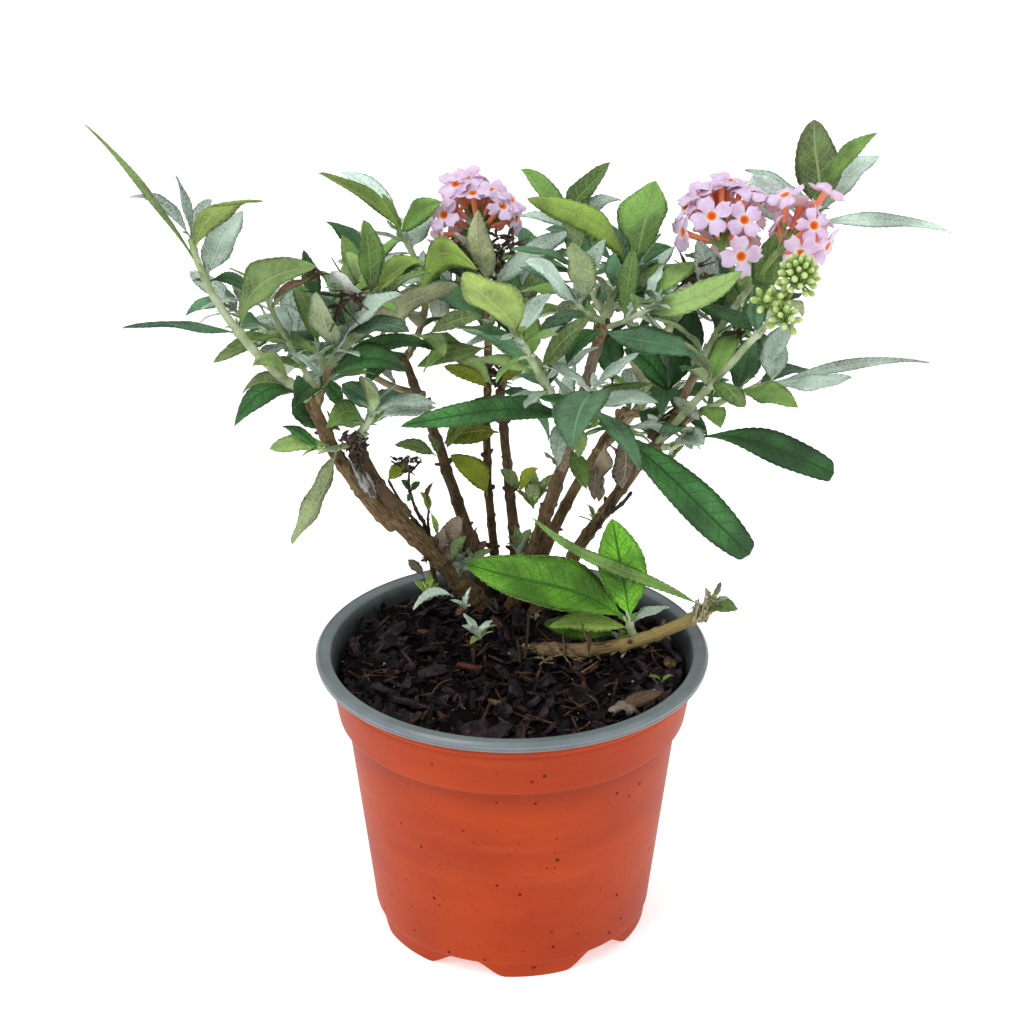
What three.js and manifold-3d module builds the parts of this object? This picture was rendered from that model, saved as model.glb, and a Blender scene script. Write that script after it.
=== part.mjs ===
// A butterfly bush (Buddleja) in its round nursery pot: pot, lining, bark compost, woody stems and
// masses of foliage and blossom. Millimetres, +Z up, the front towards -Y, and the origin at the
// middle of the pot's flat underside.
import * as THREE from "three";
import { mergeVertices } from "three/addons/utils/BufferGeometryUtils.js";
import Module from "manifold-3d";

const wasm = await Module();
wasm.setup();

// ---- driving dimensions -------------------------------------------------------------------------
const gap = 0.3; // clearance between neighbouring solids

const pot = {
  height: 100, // ground to the top of the lip
  lipRadius: 65, // outside of the rolled lip
  lipWidth: 5, // flat top of the lip, across
  lipDrop: 3.4, // how far the lip is rolled down
  collarTop: 60.4, // radius of the stacking collar under the lip
  collarBottom: 57.9, // its radius where it steps in
  collarFoot: 78, // height of that step
  wallTop: 55, // wall radius under the collar
  wallFoot: 47.1, // wall radius at the foot
  footRadius: 46.4, // ring of feet
  discRadius: 39, // flat middle of the underside
  notchHeight: 5.5, // gaps between the feet
  wall: 0.8, // plastic thickness of each skin
  floor: 1.6,
  feet: 6,
  footSpan: 36, // degrees of each foot at the ground
  footTurn: -80, // heading of the front foot's middle, degrees
  drainRadius: 2.5,
  drainRing: 29,
  segments: 40,
};

const soil = { top: 92, level: 46 }; // height, and the radius of the flat middle

const bark = { sides: 6, steps: 5 };
const twig = { sides: 4, steps: 3 };
const sideTwig = { sides: 3, steps: 2 };

const blade = {
  stations: [0.36, 0.7], // where the blade's sections lie, of its length
  spread: [1, 0.86], // width there, of the full width
  small: 15, // a shorter leaf has the first section only
  thickness: 0.9,
  fold: 0.16, // how far the margins stand above the midrib, of the width
  sink: 1.2, // how deep a leaf's root sits in its twig
  probeStart: 0.3, // a leaf's outer part, from here on, keeps clear of other leaves
  tries: 7, // turns tried before a leaf is skipped
  tryTurn: 9, // degrees of each try
};

const goldenAngle = 137.5;
const twigSag = 0.06; // how far a side twig sags, of its length
const floret = { tubeRadius: 1.1, lobes: 4, reach: 6.4, waist: 2.9, thickness: 1, sink: 1.2 };

// ---- geometry helpers ---------------------------------------------------------------------------
const degrees = Math.PI / 180;
const up = new THREE.Vector3(0, 0, 1);
const point = (xyz) => new THREE.Vector3(...xyz);
const mix = (a, b, t) => a + (b - a) * t;

// Heading is counted from +X (0) by +Y, the back (90); rise is the angle above level.
function direction(heading, rise) {
  const level = Math.cos(rise * degrees);
  return new THREE.Vector3(
    level * Math.cos(heading * degrees), level * Math.sin(heading * degrees), Math.sin(rise * degrees),
  );
}

// A seeded source of numbers from 0 to 1.
function randomFrom(seed) {
  let state = seed >>> 0;
  return () => {
    state = (state + 0x6d2b79f5) >>> 0;
    let t = Math.imul(state ^ (state >>> 15), 1 | state);
    t = (t + Math.imul(t ^ (t >>> 7), 61 | t)) ^ t;
    return ((t ^ (t >>> 14)) >>> 0) / 4294967296;
  };
}

// Joins rings of equal count, first to last, and closes both ends. A ring of one point is a tip.
function loft(rings) {
  const corners = [];
  const faces = [];
  const starts = rings.map((ring) => {
    const start = corners.length;
    corners.push(...ring);
    return start;
  });
  for (let r = 0; r + 1 < rings.length; r += 1) {
    const [here, next] = [rings[r].length, rings[r + 1].length];
    const count = Math.max(here, next);
    for (let i = 0; i < count; i += 1) {
      const a = starts[r] + (i % here);
      const b = starts[r] + ((i + 1) % here);
      const c = starts[r + 1] + ((i + 1) % next);
      const d = starts[r + 1] + (i % next);
      if (here > 1) faces.push([a, b, c]);
      if (next > 1) faces.push([a, c, d]);
    }
  }
  for (const [r, turn] of [[0, 1], [rings.length - 1, -1]]) {
    for (let i = 1; i + 1 < rings[r].length; i += 1) {
      const fan = [starts[r], starts[r] + i + 1, starts[r] + i];
      faces.push(turn > 0 ? fan : fan.reverse());
    }
  }
  const geometry = new THREE.BufferGeometry().setFromPoints(corners);
  geometry.setIndex(faces.flat());
  return geometry;
}

function solidOf(geometry) {
  const plain = geometry.clone();
  plain.deleteAttribute("normal");
  plain.deleteAttribute("uv");
  const merged = mergeVertices(plain, 1e-4);
  const mesh = new wasm.Mesh({
    numProp: 3,
    vertProperties: new Float32Array(merged.attributes.position.array),
    triVerts: new Uint32Array(merged.index.array),
  });
  return new wasm.Manifold(mesh);
}

function geometryOf(solid) {
  const mesh = solid.getMesh();
  const geometry = new THREE.BufferGeometry();
  geometry.setAttribute("position", new THREE.BufferAttribute(new Float32Array(mesh.vertProperties), 3));
  geometry.setIndex(new THREE.BufferAttribute(new Uint32Array(mesh.triVerts), 1));
  geometry.computeVertexNormals();
  return geometry;
}

function turned(profile, segments) {
  return new THREE.LatheGeometry(profile.map(([r, z]) => new THREE.Vector2(r, z)), segments)
    .rotateX(Math.PI / 2);
}

// The largest piece of a solid: loose scraps and sealed hollows fall away.
function whole(solid) {
  const pieces = solid.decompose();
  return pieces.reduce((best, piece) => (piece.volume() > best.volume() ? piece : best));
}

// ---- pot ----------------------------------------------------------------------------------------
function potWall() {
  const p = pot;
  const lipUnder = p.height - p.lipDrop;
  const profile = [
    [0, 0], [p.discRadius, 0], [p.footRadius, 0], [p.wallFoot, p.notchHeight],
    [p.wallTop, p.collarFoot - 3], [p.collarBottom, p.collarFoot], [p.collarTop, lipUnder - 3],
    [p.collarTop, lipUnder - gap], [p.collarTop - p.wall, lipUnder - gap],
    [p.collarTop - p.wall, lipUnder - 3], [p.collarBottom - p.wall, p.collarFoot + 0.4],
    [p.wallTop - p.wall, p.collarFoot - 2.6], [p.wallFoot - p.wall, p.notchHeight + p.floor],
    [0, p.notchHeight + p.floor],
  ];
  let solid = solidOf(turned(profile, p.segments));
  const pitch = 360 / p.feet;
  for (let i = 0; i < p.feet; i += 1) {
    const heading = p.footTurn + (i + 0.5) * pitch;
    const half = (pitch - p.footSpan) / 2;
    const outline = new THREE.Shape([
      new THREE.Vector2(-half * 0.62 * degrees * p.footRadius, p.notchHeight),
      new THREE.Vector2(-half * degrees * p.footRadius, -1),
      new THREE.Vector2(half * degrees * p.footRadius, -1),
      new THREE.Vector2(half * 0.62 * degrees * p.footRadius, p.notchHeight),
    ]);
    const notch = new THREE.ExtrudeGeometry(outline, { depth: 12, bevelEnabled: false });
    notch.rotateX(Math.PI / 2).translate(0, p.discRadius + 13, 0).rotateZ((heading - 90) * degrees);
    solid = solid.subtract(solidOf(notch));
    const drain = new THREE.CylinderGeometry(p.drainRadius, p.drainRadius, 4 * p.notchHeight, 8);
    const at = direction(heading, 0).multiplyScalar(p.drainRing);
    solid = solid.subtract(solidOf(drain.rotateX(Math.PI / 2).translate(at.x, at.y, 0)));
  }
  return geometryOf(solid);
}

// The lining follows the pot's inside, one gap clear of it, and carries the rolled lip.
function potLining() {
  const p = pot;
  const lipUnder = p.height - p.lipDrop;
  const floorTop = p.notchHeight + p.floor + gap;
  const outside = p.wall + gap;
  const inside = outside + p.wall;
  return turned([
    [p.wallFoot - outside, floorTop], [p.wallTop - outside, p.collarFoot - 2.6],
    [p.collarBottom - outside, p.collarFoot + 0.4], [p.collarTop - outside, lipUnder - 3],
    [p.collarTop - outside, lipUnder], [p.lipRadius - 0.6, lipUnder],
    [p.lipRadius, lipUnder + 1.2], [p.lipRadius - 0.5, p.height - 0.7], [p.lipRadius - 1.6, p.height],
    [p.lipRadius - p.lipWidth, p.height], [p.collarTop - inside, lipUnder - 3],
    [p.collarBottom - inside, p.collarFoot + 0.8], [p.wallTop - inside, p.collarFoot - 2.2],
    [p.wallFoot - inside, floorTop], [p.wallFoot - outside, floorTop],
  ], p.segments);
}

function compost() {
  const bottom = pot.notchHeight + pot.floor + gap;
  const inset = 2 * pot.wall + 2 * gap + 0.3; // 0.3 clears the flats of the round lining
  return turned([
    [0, bottom], [pot.wallFoot - inset, bottom], [pot.wallTop - inset, pot.collarFoot - 2.2],
    [pot.collarBottom - inset, pot.collarFoot + 1.2], [pot.collarBottom - inset + 0.8, soil.top - 1.2],
    [soil.level, soil.top], [0, soil.top],
  ], pot.segments);
}

// ---- limbs: each runs from its foot to its tip, bowed at the middle by the given offset, and tapers.
// A bough starts on its stem's end, beside the stem's axis.
const soilTop = soil.top + gap;
const limbs = {
  stem_left: { foot: [-9.5, 38, soilTop], tip: [-38, 17, 138], bow: [4, 1.5, -3.5], radius: [4.1, 3.3] },
  bough_left_outer: { on: "stem_left", beside: -2.6, tip: [-64, 7, 184], bow: [-1.6, -2, -1], radius: [2.3, 1.8] },
  bough_left_inner: { on: "stem_left", beside: 2.6, tip: [-51, 15, 166], bow: [0, 0.5, 0], radius: [2.4, 2.1] },
  stem_back_left: { foot: [-9, 48, soilTop], tip: [-36, 48, 182], bow: [0.8, -1, 4], radius: [2.3, 1.4] },
  stem_back: { foot: [-3.5, 53, soilTop], tip: [-8, 52, 184], bow: [-2.4, -2, -4], radius: [1.6, 1.2] },
  stem_back_right: { foot: [2.5, 51.5, soilTop], tip: [-4, 50, 169], bow: [0.5, -2, -1.9], radius: [2.1, 1.4] },
  stem_centre: { foot: [-0.5, 40, soilTop], tip: [27, 0, 208], bow: [1.9, -2, 1.9], radius: [3.2, 2.1] },
  stem_centre_right: { foot: [5.5, 44.5, soilTop], tip: [37, 38, 167], bow: [-6, -1, -4], radius: [2.6, 1.8] },
  stem_right: { foot: [7.5, 36, soilTop], tip: [51, 2, 179], bow: [-1.3, 2, -1.2], radius: [2.8, 1.9] },
  stem_lying: { foot: [6, 8, soilTop + 2.6], tip: [64, 3, 111], bow: [0, -4, -4], radius: [2.5, 1.9] },
};

function bowed(from, tip, bow) {
  const middle = from.clone().add(tip).multiplyScalar(0.5).addScaledVector(point(bow), 2);
  return new THREE.QuadraticBezierCurve3(from, middle, tip);
}

// A tapering solid along a curve. A foot that is cut square to another direction is given it.
function taper(curve, radius, { sides, steps }, footAlong) {
  const rings = [];
  for (let s = 0; s <= steps; s += 1) {
    const t = s / steps;
    const along = footAlong && s === 0 ? footAlong : curve.getTangent(t);
    const side = new THREE.Vector3(0, 1, 0).cross(along).normalize();
    const over = new THREE.Vector3().crossVectors(along, side);
    const centre = curve.getPoint(t);
    const r = mix(radius[0], radius[1], t);
    rings.push(Array.from({ length: sides }, (_, i) => {
      const angle = (i / sides) * 2 * Math.PI;
      return centre.clone().addScaledVector(side, r * Math.cos(angle)).addScaledVector(over, r * Math.sin(angle));
    }));
  }
  return loft(rings);
}

const limbCurve = {};
const limbFoot = {};
for (const [name, limb] of Object.entries(limbs)) {
  if (limb.on) {
    const end = limbCurve[limb.on].getTangent(1);
    const across = new THREE.Vector3(0, 1, 0).cross(end).normalize();
    const from = limbCurve[limb.on].getPoint(1).addScaledVector(across, limb.beside).addScaledVector(end, gap);
    limbCurve[name] = bowed(from, point(limb.tip), limb.bow);
    limbFoot[name] = end;
  } else {
    limbCurve[name] = bowed(point(limb.foot), point(limb.tip), limb.bow);
    limbFoot[name] = limb.foot[2] === soilTop ? up : undefined;
  }
}

// A limb's shape, or the room that it and a margin round it take up.
function limbGeometry(name, margin = 0) {
  const curve = limbCurve[name];
  const tip = curve.v2.clone().addScaledVector(curve.getTangent(1), margin);
  const longer = new THREE.QuadraticBezierCurve3(curve.v0, curve.v1, tip);
  return taper(longer, limbs[name].radius.map((r) => r + margin), bark, limbFoot[name]);
}

// ---- foliage ------------------------------------------------------------------------------------
// A leaf is set by where it leaves its twig (at, 0 to 1), its heading and rise, its length and width,
// its arch above the straight line from root to tip (of its length), and its roll about that line.
function leafFrame(leaf) {
  const along = direction(leaf.heading, leaf.rise);
  const level = direction(leaf.heading - 90, 0);
  const over = new THREE.Vector3().crossVectors(level, along).normalize();
  const side = level.clone().applyAxisAngle(along, leaf.roll * degrees);
  const face = over.clone().applyAxisAngle(along, leaf.roll * degrees);
  return { along, over, side, face };
}

function leafBlade(root, leaf, extra = 0, from = 0) {
  const { along, over, side, face } = leafFrame(leaf);
  const spine = (t) => root.clone().addScaledVector(along, leaf.length * t)
    .addScaledVector(over, leaf.arch * leaf.length * 4 * t * (1 - t));
  const ring = (t, width, thickness) => {
    const centre = spine(t);
    const half = width / 2 + extra;
    const lift = blade.fold * width;
    const deep = thickness / 2 + extra;
    return [
      centre.clone().addScaledVector(side, half).addScaledVector(face, lift),
      centre.clone().addScaledVector(face, -deep),
      centre.clone().addScaledVector(side, -half).addScaledVector(face, lift),
      centre.clone().addScaledVector(face, deep),
    ];
  };
  const stations = blade.stations.slice(0, leaf.length < blade.small ? 1 : 2);
  const rings = stations.map((t, i) => ring(t, leaf.width * blade.spread[i], blade.thickness));
  const start = from > 0 ? spine(from) : spine(-blade.sink / leaf.length);
  return solidOf(loft([[start], ...rings, [spine(1)]]));
}

const placed = []; // every limb and leaf so far, with the mass that holds it

function boxesMeet(a, b) {
  return [0, 1, 2].every((k) => a.min[k] <= b.max[k] && b.min[k] <= a.max[k]);
}

function place(solid, owner, leafy) {
  placed.push({ solid, owner, leafy, box: solid.boundingBox() });
}

function touches(probe, among) {
  const box = probe.boundingBox();
  return placed.some((other) => among(other) && boxesMeet(box, other.box)
    && probe.intersect(other.solid).volume() > 1e-6);
}

// Tries a leaf as set, then turned a little each way, and gives null where none is clear.
function clearLeaf(root, leaf, owner) {
  for (let n = 0; n <= blade.tries; n += 1) {
    const turn = Math.ceil(n / 2) * blade.tryTurn * (n % 2 ? 1 : -1);
    const turnedLeaf = { ...leaf, heading: leaf.heading + turn, rise: leaf.rise + Math.abs(turn) / 3 };
    const probe = leafBlade(root, turnedLeaf, gap);
    const outer = leafBlade(root, turnedLeaf, 0.1, blade.probeStart);
    const blocked = touches(probe, (other) => other.owner !== owner)
      || touches(outer, (other) => other.owner === owner && other.leafy);
    if (!blocked) return turnedLeaf;
  }
  return null;
}

// One floret: a slim tube from the head's heart that opens into a four-lobed star.
function floretSolid(heart, along, length, random) {
  const centre = heart.clone().addScaledVector(along, length);
  const side = new THREE.Vector3(1, 0, 0).cross(along).normalize();
  const over = new THREE.Vector3().crossVectors(along, side);
  const spin = random() * Math.PI;
  const ring = (count, radiusAt) => Array.from({ length: count }, (_, i) => {
    const angle = spin + (i * 2 * Math.PI) / count;
    return centre.clone().addScaledVector(side, radiusAt(i) * Math.cos(angle))
      .addScaledVector(over, radiusAt(i) * Math.sin(angle));
  });
  const tube = loft([[heart], ring(3, () => floret.tubeRadius)]);
  const star = loft([
    [centre.clone().addScaledVector(along, -floret.thickness)],
    ring(2 * floret.lobes, (i) => (i % 2 ? floret.waist : floret.reach)),
    [centre.clone().addScaledVector(along, floret.thickness * 0.6)],
  ]);
  return solidOf(tube).add(solidOf(star));
}

// Each mass grows from one stem: `on` names its limb and `at` the place on it (1 is the tip). Side twigs
// leave the stem at their own `at`. Posed leaves: [at, heading, rise, length, width, arch, roll].
const masses = {
  foliage_far_left: {
    on: "bough_left_outer", at: 1, tip: [-98.3, 2, 239.2], bow: [-5.7, -5.2, 1.1], radius: [1.7, 1],
    posed: [
      [0.78, 163, 51, 58, 7, 0.05, 9], [0.77, 62, 36, 27, 12, 0.1, 3], [0.75, 57, -36, 35, 8, 0.16, 48],
      [0.94, 328, 36, 34, 12, 0.2, -21], [1, 126, 68, 20, 5, 0.1, 27], [1, 139, 16, 29, 6, 0.15, 0],
      [1, 67, 35, 16, 6, 0.05, -9], [0.44, 194, 8, 36, 8, 0.09, -9], [0.44, 337, 44, 38, 15, 0.26, 57],
      [0.45, 73, -20, 24, 7, 0.15, 36], [0.03, 214, -10, 26, 9, 0.29, -21],
      [0.06, 150, -12, 23, 8, 0.14, -27], [0.12, 235, 34, 23, 7, 0.2, -54],
    ],
  },
  foliage_left_crown: {
    on: "bough_left_outer", at: 0.93, tip: [-44, 14, 216], bow: [-2, -1, 1.5], radius: [1.5, 0.9],
    posed: [
      [0.4, 324, 45, 41, 11, 0.1, 39], [0.55, 36, 14, 47, 10, 0.05, -78],
      [0.52, 253, 56, 30, 11, -0.05, -9], [1, 121, 79, 25, 9, 0.05, 0], [1, 46, 15, 24, 9, 0.16, 15],
      [0.95, 53, 8, 29, 9, 0.18, 6], [0.62, 317, 18, 31, 10, 0.14, 21], [0.19, 318, 22, 41, 12, 0.14, 30],
      [0.36, 28, -1, 38, 8, 0.12, 18], [0.1, 257, 15, 25, 9, 0.2, -21], [0.77, 257, 52, 29, 12, 0.1, -24],
      [0.8, 62, 39, 28, 9, 0.1, -21],
    ],
    twigs: [
      { at: 0.14, tip: [-78, 16, 216], posed: [
        [0.75, 180, -14, 16, 5, 0.2, 0], [0.9, 30, 20, 18, 6, 0.2, 0],
      ] },
      { at: 0.3, tip: [-64, 26, 202], pairs: { from: 0.4, step: 0.3, length: [25, 18], spread: [60, 35] } },
      { at: 0.5, tip: [-42, 38, 206], pairs: { from: 0.4, step: 0.3, length: [26, 20], spread: [60, 35] } },
    ],
  },
  foliage_left_low: {
    on: "bough_left_inner", at: 1, tip: [-44, 6, 181], bow: [-0.2, -0.8, -0.4], radius: [1.6, 1],
    posed: [
      [1, 326, 18, 26, 9, 0.14, 15], [0.8, 271, 51, 25, 9, 0.1, -45], [0.58, 248, 20, 29, 8, 0.18, -51],
      [1, 112, 47, 12, 5, 0.1, 0], [1, 10, 45, 12, 5, 0.1, 0], [0.4, 58, 8, 29, 9, 0.12, 6],
    ],
    twigs: [
      { at: 0.15, tip: [-61, -2, 171], posed: [
        [0.54, 225, -53, 34, 9, 0.08, 90], [0.66, 207, 11, 22, 8, 0.14, -24], [1, 128, 16, 14, 7, 0.1, -6],
      ] },
    ],
  },
  foliage_back_left: {
    on: "stem_back_left", at: 1, tip: [-38, 64, 222], bow: [8, 1, 0.4], radius: [1.2, 0.8],
    posed: [
      [0.89, 208, 43, 43, 8, 0.09, -33], [1, 146, 36, 29, 9, 0.16, -6], [1, 158, 66, 14, 6, 0.1, 0],
      [1, 315, 80, 17, 6, 0.05, 0], [0.98, 328, 40, 22, 9, 0.1, 63], [0.85, 64, 32, 19, 10, 0.1, -3],
      [0.35, 299, 35, 38, 12, 0.35, 75], [0.05, 291, 18, 38, 9, 0.16, 0], [0.05, 236, -8, 24, 8, 0.14, -9],
      [0.1, 26, -14, 22, 8, 0.14, 33], [0.4, 118, -12, 26, 9, 0.12, -30],
    ],
    twigs: [
      { at: 0.35, tip: [-58, 76, 194], pairs: { from: 0.35, step: 0.32, length: [30, 22], spread: [62, 40] } },
      { at: 0.5, tip: [-14, 84, 200], pairs: { from: 0.35, step: 0.32, length: [30, 22], spread: [62, 40] } },
    ],
  },
  flower_spike_centre: {
    on: "stem_back", at: 1, tip: [-12, 58, 223], bow: [0.9, 0.2, 0.1], radius: [1.1, 0.9],
    posed: [
      [0.52, 265, 60, 39, 9, 0, -9], [0.5, 228, 60, 28, 9, 0.1, 6], [0.54, 316, 36, 47, 9, 0.05, 63],
      [0.42, 116, 8, 37, 11, 0.16, 0], [0.02, 196, -9, 25, 9, 0.08, -24], [0.06, 329, -18, 25, 8, 0.14, 12],
      [0.12, 90, 0, 30, 9, 0.16, 0], [0.2, 230, 29, 36, 10, 0.14, -51], [0.22, 24, 10, 22, 9, 0.14, 24],
    ],
    heads: [{ from: 0.95, base: [-12, 57, 228], lean: [260, 76], count: 13, spread: 190, reach: 11 }],
  },
  foliage_mid_back: {
    on: "stem_back_right", at: 1, tip: [3, 70, 194], bow: [0.3, 1.6, -1], radius: [1.3, 0.9],
    posed: [
      [0.5, 339, 64, 27, 9, 0.1, 0], [0.5, 232, 32, 26, 9, 0.12, -66], [0.9, 47, 39, 24, 9, 0.1, 0],
      [0.9, 107, 25, 28, 9, 0.12, 0], [0.12, 16, -54, 28, 8, 0.12, 42], [0.02, 202, -41, 26, 8, 0.12, -27],
    ],
    twigs: [
      { at: 0.4, tip: [10, 100, 200], pairs: { from: 0.4, step: 0.3, length: [30, 22], spread: [62, 40] } },
      { at: 0.6, tip: [-22, 94, 194], pairs: { from: 0.4, step: 0.3, length: [30, 22], spread: [62, 40] } },
    ],
  },
  foliage_front_shoot: {
    on: "stem_centre", at: 0.66, tip: [2, -30, 219], bow: [0.2, 0.4, 0.3], radius: [1.6, 1.1],
    posed: [
      [1, 225, 49, 34, 15, 0.05, 36], [0.62, 315, 49, 31, 9, 0.08, 69], [0.6, 157, 24, 29, 9, 0.14, 0],
      [0.45, 120, -10, 24, 9, 0.14, 0], [0.98, 50, 36, 18, 8, 0.1, 0], [0.96, 150, 40, 20, 8, 0.1, 0],
      [0.55, 20, 28, 20, 8, 0.1, 0],
    ],
  },
  foliage_centre_front: {
    on: "stem_centre", at: 0.58, tip: [25, -20, 198], bow: [0, -1, -2], radius: [1.5, 1],
    posed: [
      [0.98, 260, -1, 43, 17, 0.11, 9], [0.62, 197, 6, 59, 9.5, 0.08, -30],
      [0.72, 329, -30, 67, 17, 0.05, 36], [0.8, 302, -19, 30, 9, 0.14, -12], [0.7, 20, 20, 24, 9, 0.12, 0],
      [0.95, 170, 30, 18, 7, 0.1, 0], [1, 10, 40, 18, 7, 0.1, 0],
    ],
  },
  foliage_centre: {
    on: "stem_centre", at: 1, tip: [32, 6, 222], bow: [0, 0, 0], radius: [2, 1.1],
    posed: [
      [0.9, 78, 14, 26, 9, 0.1, 0], [0.12, 326, -1, 34, 10, 0.03, 42], [0.6, 20, 24, 28, 10, 0.1, 0],
      [0.1, 245, -4, 26, 8, 0.12, 0], [0.3, 150, 10, 30, 9, 0.14, 0],
    ],
    twigs: [
      { at: 0.4, tip: [17, 40, 233], posed: [
        [1, 160, 47, 22, 8, 0.08, -36], [1, 351, 55, 25, 8, 0.06, 42], [0.9, 53, 8, 30, 6, 0.14, 24],
        [0.85, 120, 30, 26, 9, 0.12, 0], [0.9, 69, 30, 26, 9, 0.1, 0], [0.5, 100, 20, 26, 9, 0.12, 0],
        [0.5, 190, 24, 26, 8, 0.12, 0],
      ] },
      { at: 0.9, tip: [39, 12, 227], posed: [
        [1, 71, 60, 28, 17, 0.05, -6], [0.71, 197, 40, 44, 10, 0.17, -51], [1, 120, 54, 19, 6, 0.1, 18],
      ] },
      { at: 0.2, tip: [44, -8, 222], posed: [
        [0.68, 345, 28, 36, 9, -0.03, 48], [1, 256, 43, 10, 6, 0.1, -21], [0.9, 239, 14, 15, 6, 0.1, 0],
        [0.9, 60, 15, 26, 9, 0.12, 0],
      ] },
      { at: 0.3, tip: [20, -9, 222], posed: [
        [1, 233, 38, 34, 9, 0.06, -54], [0.9, 247, 72, 24, 11, 0.05, -15], [0.9, 348, 65, 23, 7, 0.1, 51],
        [0.5, 157, 29, 27, 7, 0.12, 0], [0.6, 240, 0, 24, 8, 0.12, 0],
      ] },
      { at: 0.7, tip: [44, 42, 208], pairs: { from: 0.35, step: 0.32, length: [30, 24], spread: [62, 40] } },
    ],
  },
  foliage_right_mid: {
    on: "stem_centre_right", at: 1, tip: [51, 20, 182], bow: [3, 0, -2.7], radius: [1.4, 0.9],
    posed: [
      [0.95, 225, 44, 31, 10, 0.08, -75], [1, 16, 73, 30, 13, -0.06, 33], [0.8, 282, 8, 36, 9, 0.14, 0],
      [0.3, 185, 46, 20, 8, 0.1, 0], [0.5, 264, 2, 28, 9, 0.14, 0], [0.95, 96, 14, 30, 10, 0.14, 0],
      [0.3, 120, 0, 28, 10, 0.14, 0], [0.6, 70, 40, 24, 9, 0.1, 0],
    ],
  },
  flower_heads_right: {
    on: "stem_right", at: 1, tip: [76, 14, 221], bow: [0, 6, 1], radius: [1.5, 1],
    posed: [
      [0.55, 84, -3, 26, 9, 0.12, 0], [0.7, 68, 28, 29, 9, 0.1, 0], [0.55, 309, 26, 28, 9, 0.1, 0],
      [0.85, 115, 6, 36, 10, 0.16, 0], [0.3, 30, 24, 26, 9, 0.12, 0], [0.4, 200, 40, 24, 9, 0.1, 0],
    ],
    twigs: [
      { at: 0.25, tip: [99, 44, 235], posed: [
        [1, 117, 81, 30, 16, 0.04, -9], [0.95, 318, 56, 41, 8, 0.1, 60], [0.93, 42, 27, 38, 10, 0.1, 15],
        [0.95, 341, 2, 45, 9, 0.1, 21], [0.92, 130, 25, 32, 11, 0.1, 3], [0.5, 118, 3, 30, 10, 0.14, 0],
        [0.5, 46, -20, 28, 10, 0.14, 0], [0.7, 70, 0, 30, 10, 0.14, 0], [0.3, 60, 10, 30, 10, 0.14, 0],
        [0.35, 140, 30, 28, 10, 0.12, 0],
      ] },
    ],
    heads: [
      { from: 0.9, base: [66, 10, 236], lean: [255, 72], count: 11, spread: 170, reach: 13 },
      { from: 0.95, base: [87, 13, 236], lean: [300, 60], count: 7, spread: 150, reach: 12 },
    ],
  },
  foliage_bud_shoot: {
    on: "stem_right", at: 0.87, tip: [83.4, -17, 225.9], bow: [-0.8, -7.5, 3], radius: [1.3, 1],
    posed: [
      [0.78, 142, 15, 23, 8, 0.1, -15], [0.78, 97, 66, 15, 6, 0.1, 0], [0.42, 245, 32, 26, 8, 0.12, 0],
      [0.45, 293, 2, 22, 8, 0.14, 0], [0.45, 200, 44, 22, 7, 0.1, 0], [0.45, 60, 30, 22, 8, 0.12, 0],
    ],
    buds: [[86, -18, 230, 10], [83, -16, 219, 8]],
  },
  foliage_right_long: {
    on: "stem_right", at: 0.9, tip: [81.1, -5, 194.8], bow: [0.9, 0.8, 2.9], radius: [1.3, 0.9],
    posed: [
      [1, 0, 8, 49, 7, 0.1, 12], [1, 323, 17, 29, 7, -0.03, 24], [0.72, 295, 12, 34, 8.5, 0.07, 30],
      [1, 100, 42, 18, 7, 0.08, 18], [1, 50, 55, 16, 9, 0.08, -3], [0.65, 62, 34, 25, 10, 0.1, 0],
      [0.45, 100, 20, 24, 9, 0.12, 0], [0.4, 280, 6, 20, 8, 0.14, 0], [0.85, 40, -4, 28, 9, 0.12, 0],
    ],
  },
  foliage_right_low: {
    on: "stem_right", at: 0.88, tip: [55, -12, 179], bow: [0, 0, -1], radius: [1.3, 0.9],
    posed: [
      [0.95, 350, -10, 47, 14, 0.15, 54], [0.6, 289, 22, 25, 8, 0.14, 33], [1, 249, 22, 29, 9, 0.12, 0],
      [0.9, 200, 20, 20, 8, 0.12, 0],
    ],
  },
  foliage_lying: {
    on: "stem_lying", at: 0.62, tip: [39, 1, 108], bow: [-1, 0, 0], radius: [1.4, 1.1],
    posed: [
      [0.9, 173, 19, 58, 18, 0.07, -45], [0.95, 114, 65, 35, 16, 0.03, -15], [0.6, 180, 2, 27, 9, 0.1, -15],
      [0.8, 30, 10, 16, 6, 0.12, 0],
    ],
  },
  foliage_lying_tip: {
    on: "stem_lying", at: 1, tip: [67, 3, 115], bow: [0, 0, 0], radius: [1.6, 1.2],
    posed: [
      [0.1, 171, 27, 67, 7, 0.03, -12], [0.8, 8, -21, 9, 5, 0.1, 30], [0.9, 60, 50, 10, 4, 0.1, 0],
      [0.7, 120, 40, 12, 5, 0.1, 0], [0.7, 280, 20, 10, 4, 0.1, 0],
    ],
  },
  foliage_back_right: {
    on: "stem_centre_right", at: 0.85, tip: [60, 72, 194], bow: [2, 0, -5], radius: [1.6, 0.9],
    pairs: { from: 0.4, step: 0.2, length: [32, 26], spread: [66, 40] },
    twigs: [
      { at: 0.45, tip: [80, 74, 190], pairs: { from: 0.4, step: 0.3, length: [30, 24], spread: [62, 40] } },
      { at: 0.55, tip: [36, 88, 202], pairs: { from: 0.4, step: 0.3, length: [30, 24], spread: [62, 40] } },
    ],
  },
  foliage_back_far_left: {
    on: "stem_back_left", at: 0.85, tip: [-68, 72, 190], bow: [-2, 0, -5], radius: [1.3, 0.9],
    pairs: { from: 0.4, step: 0.2, length: [32, 26], spread: [66, 40] },
    twigs: [
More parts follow.
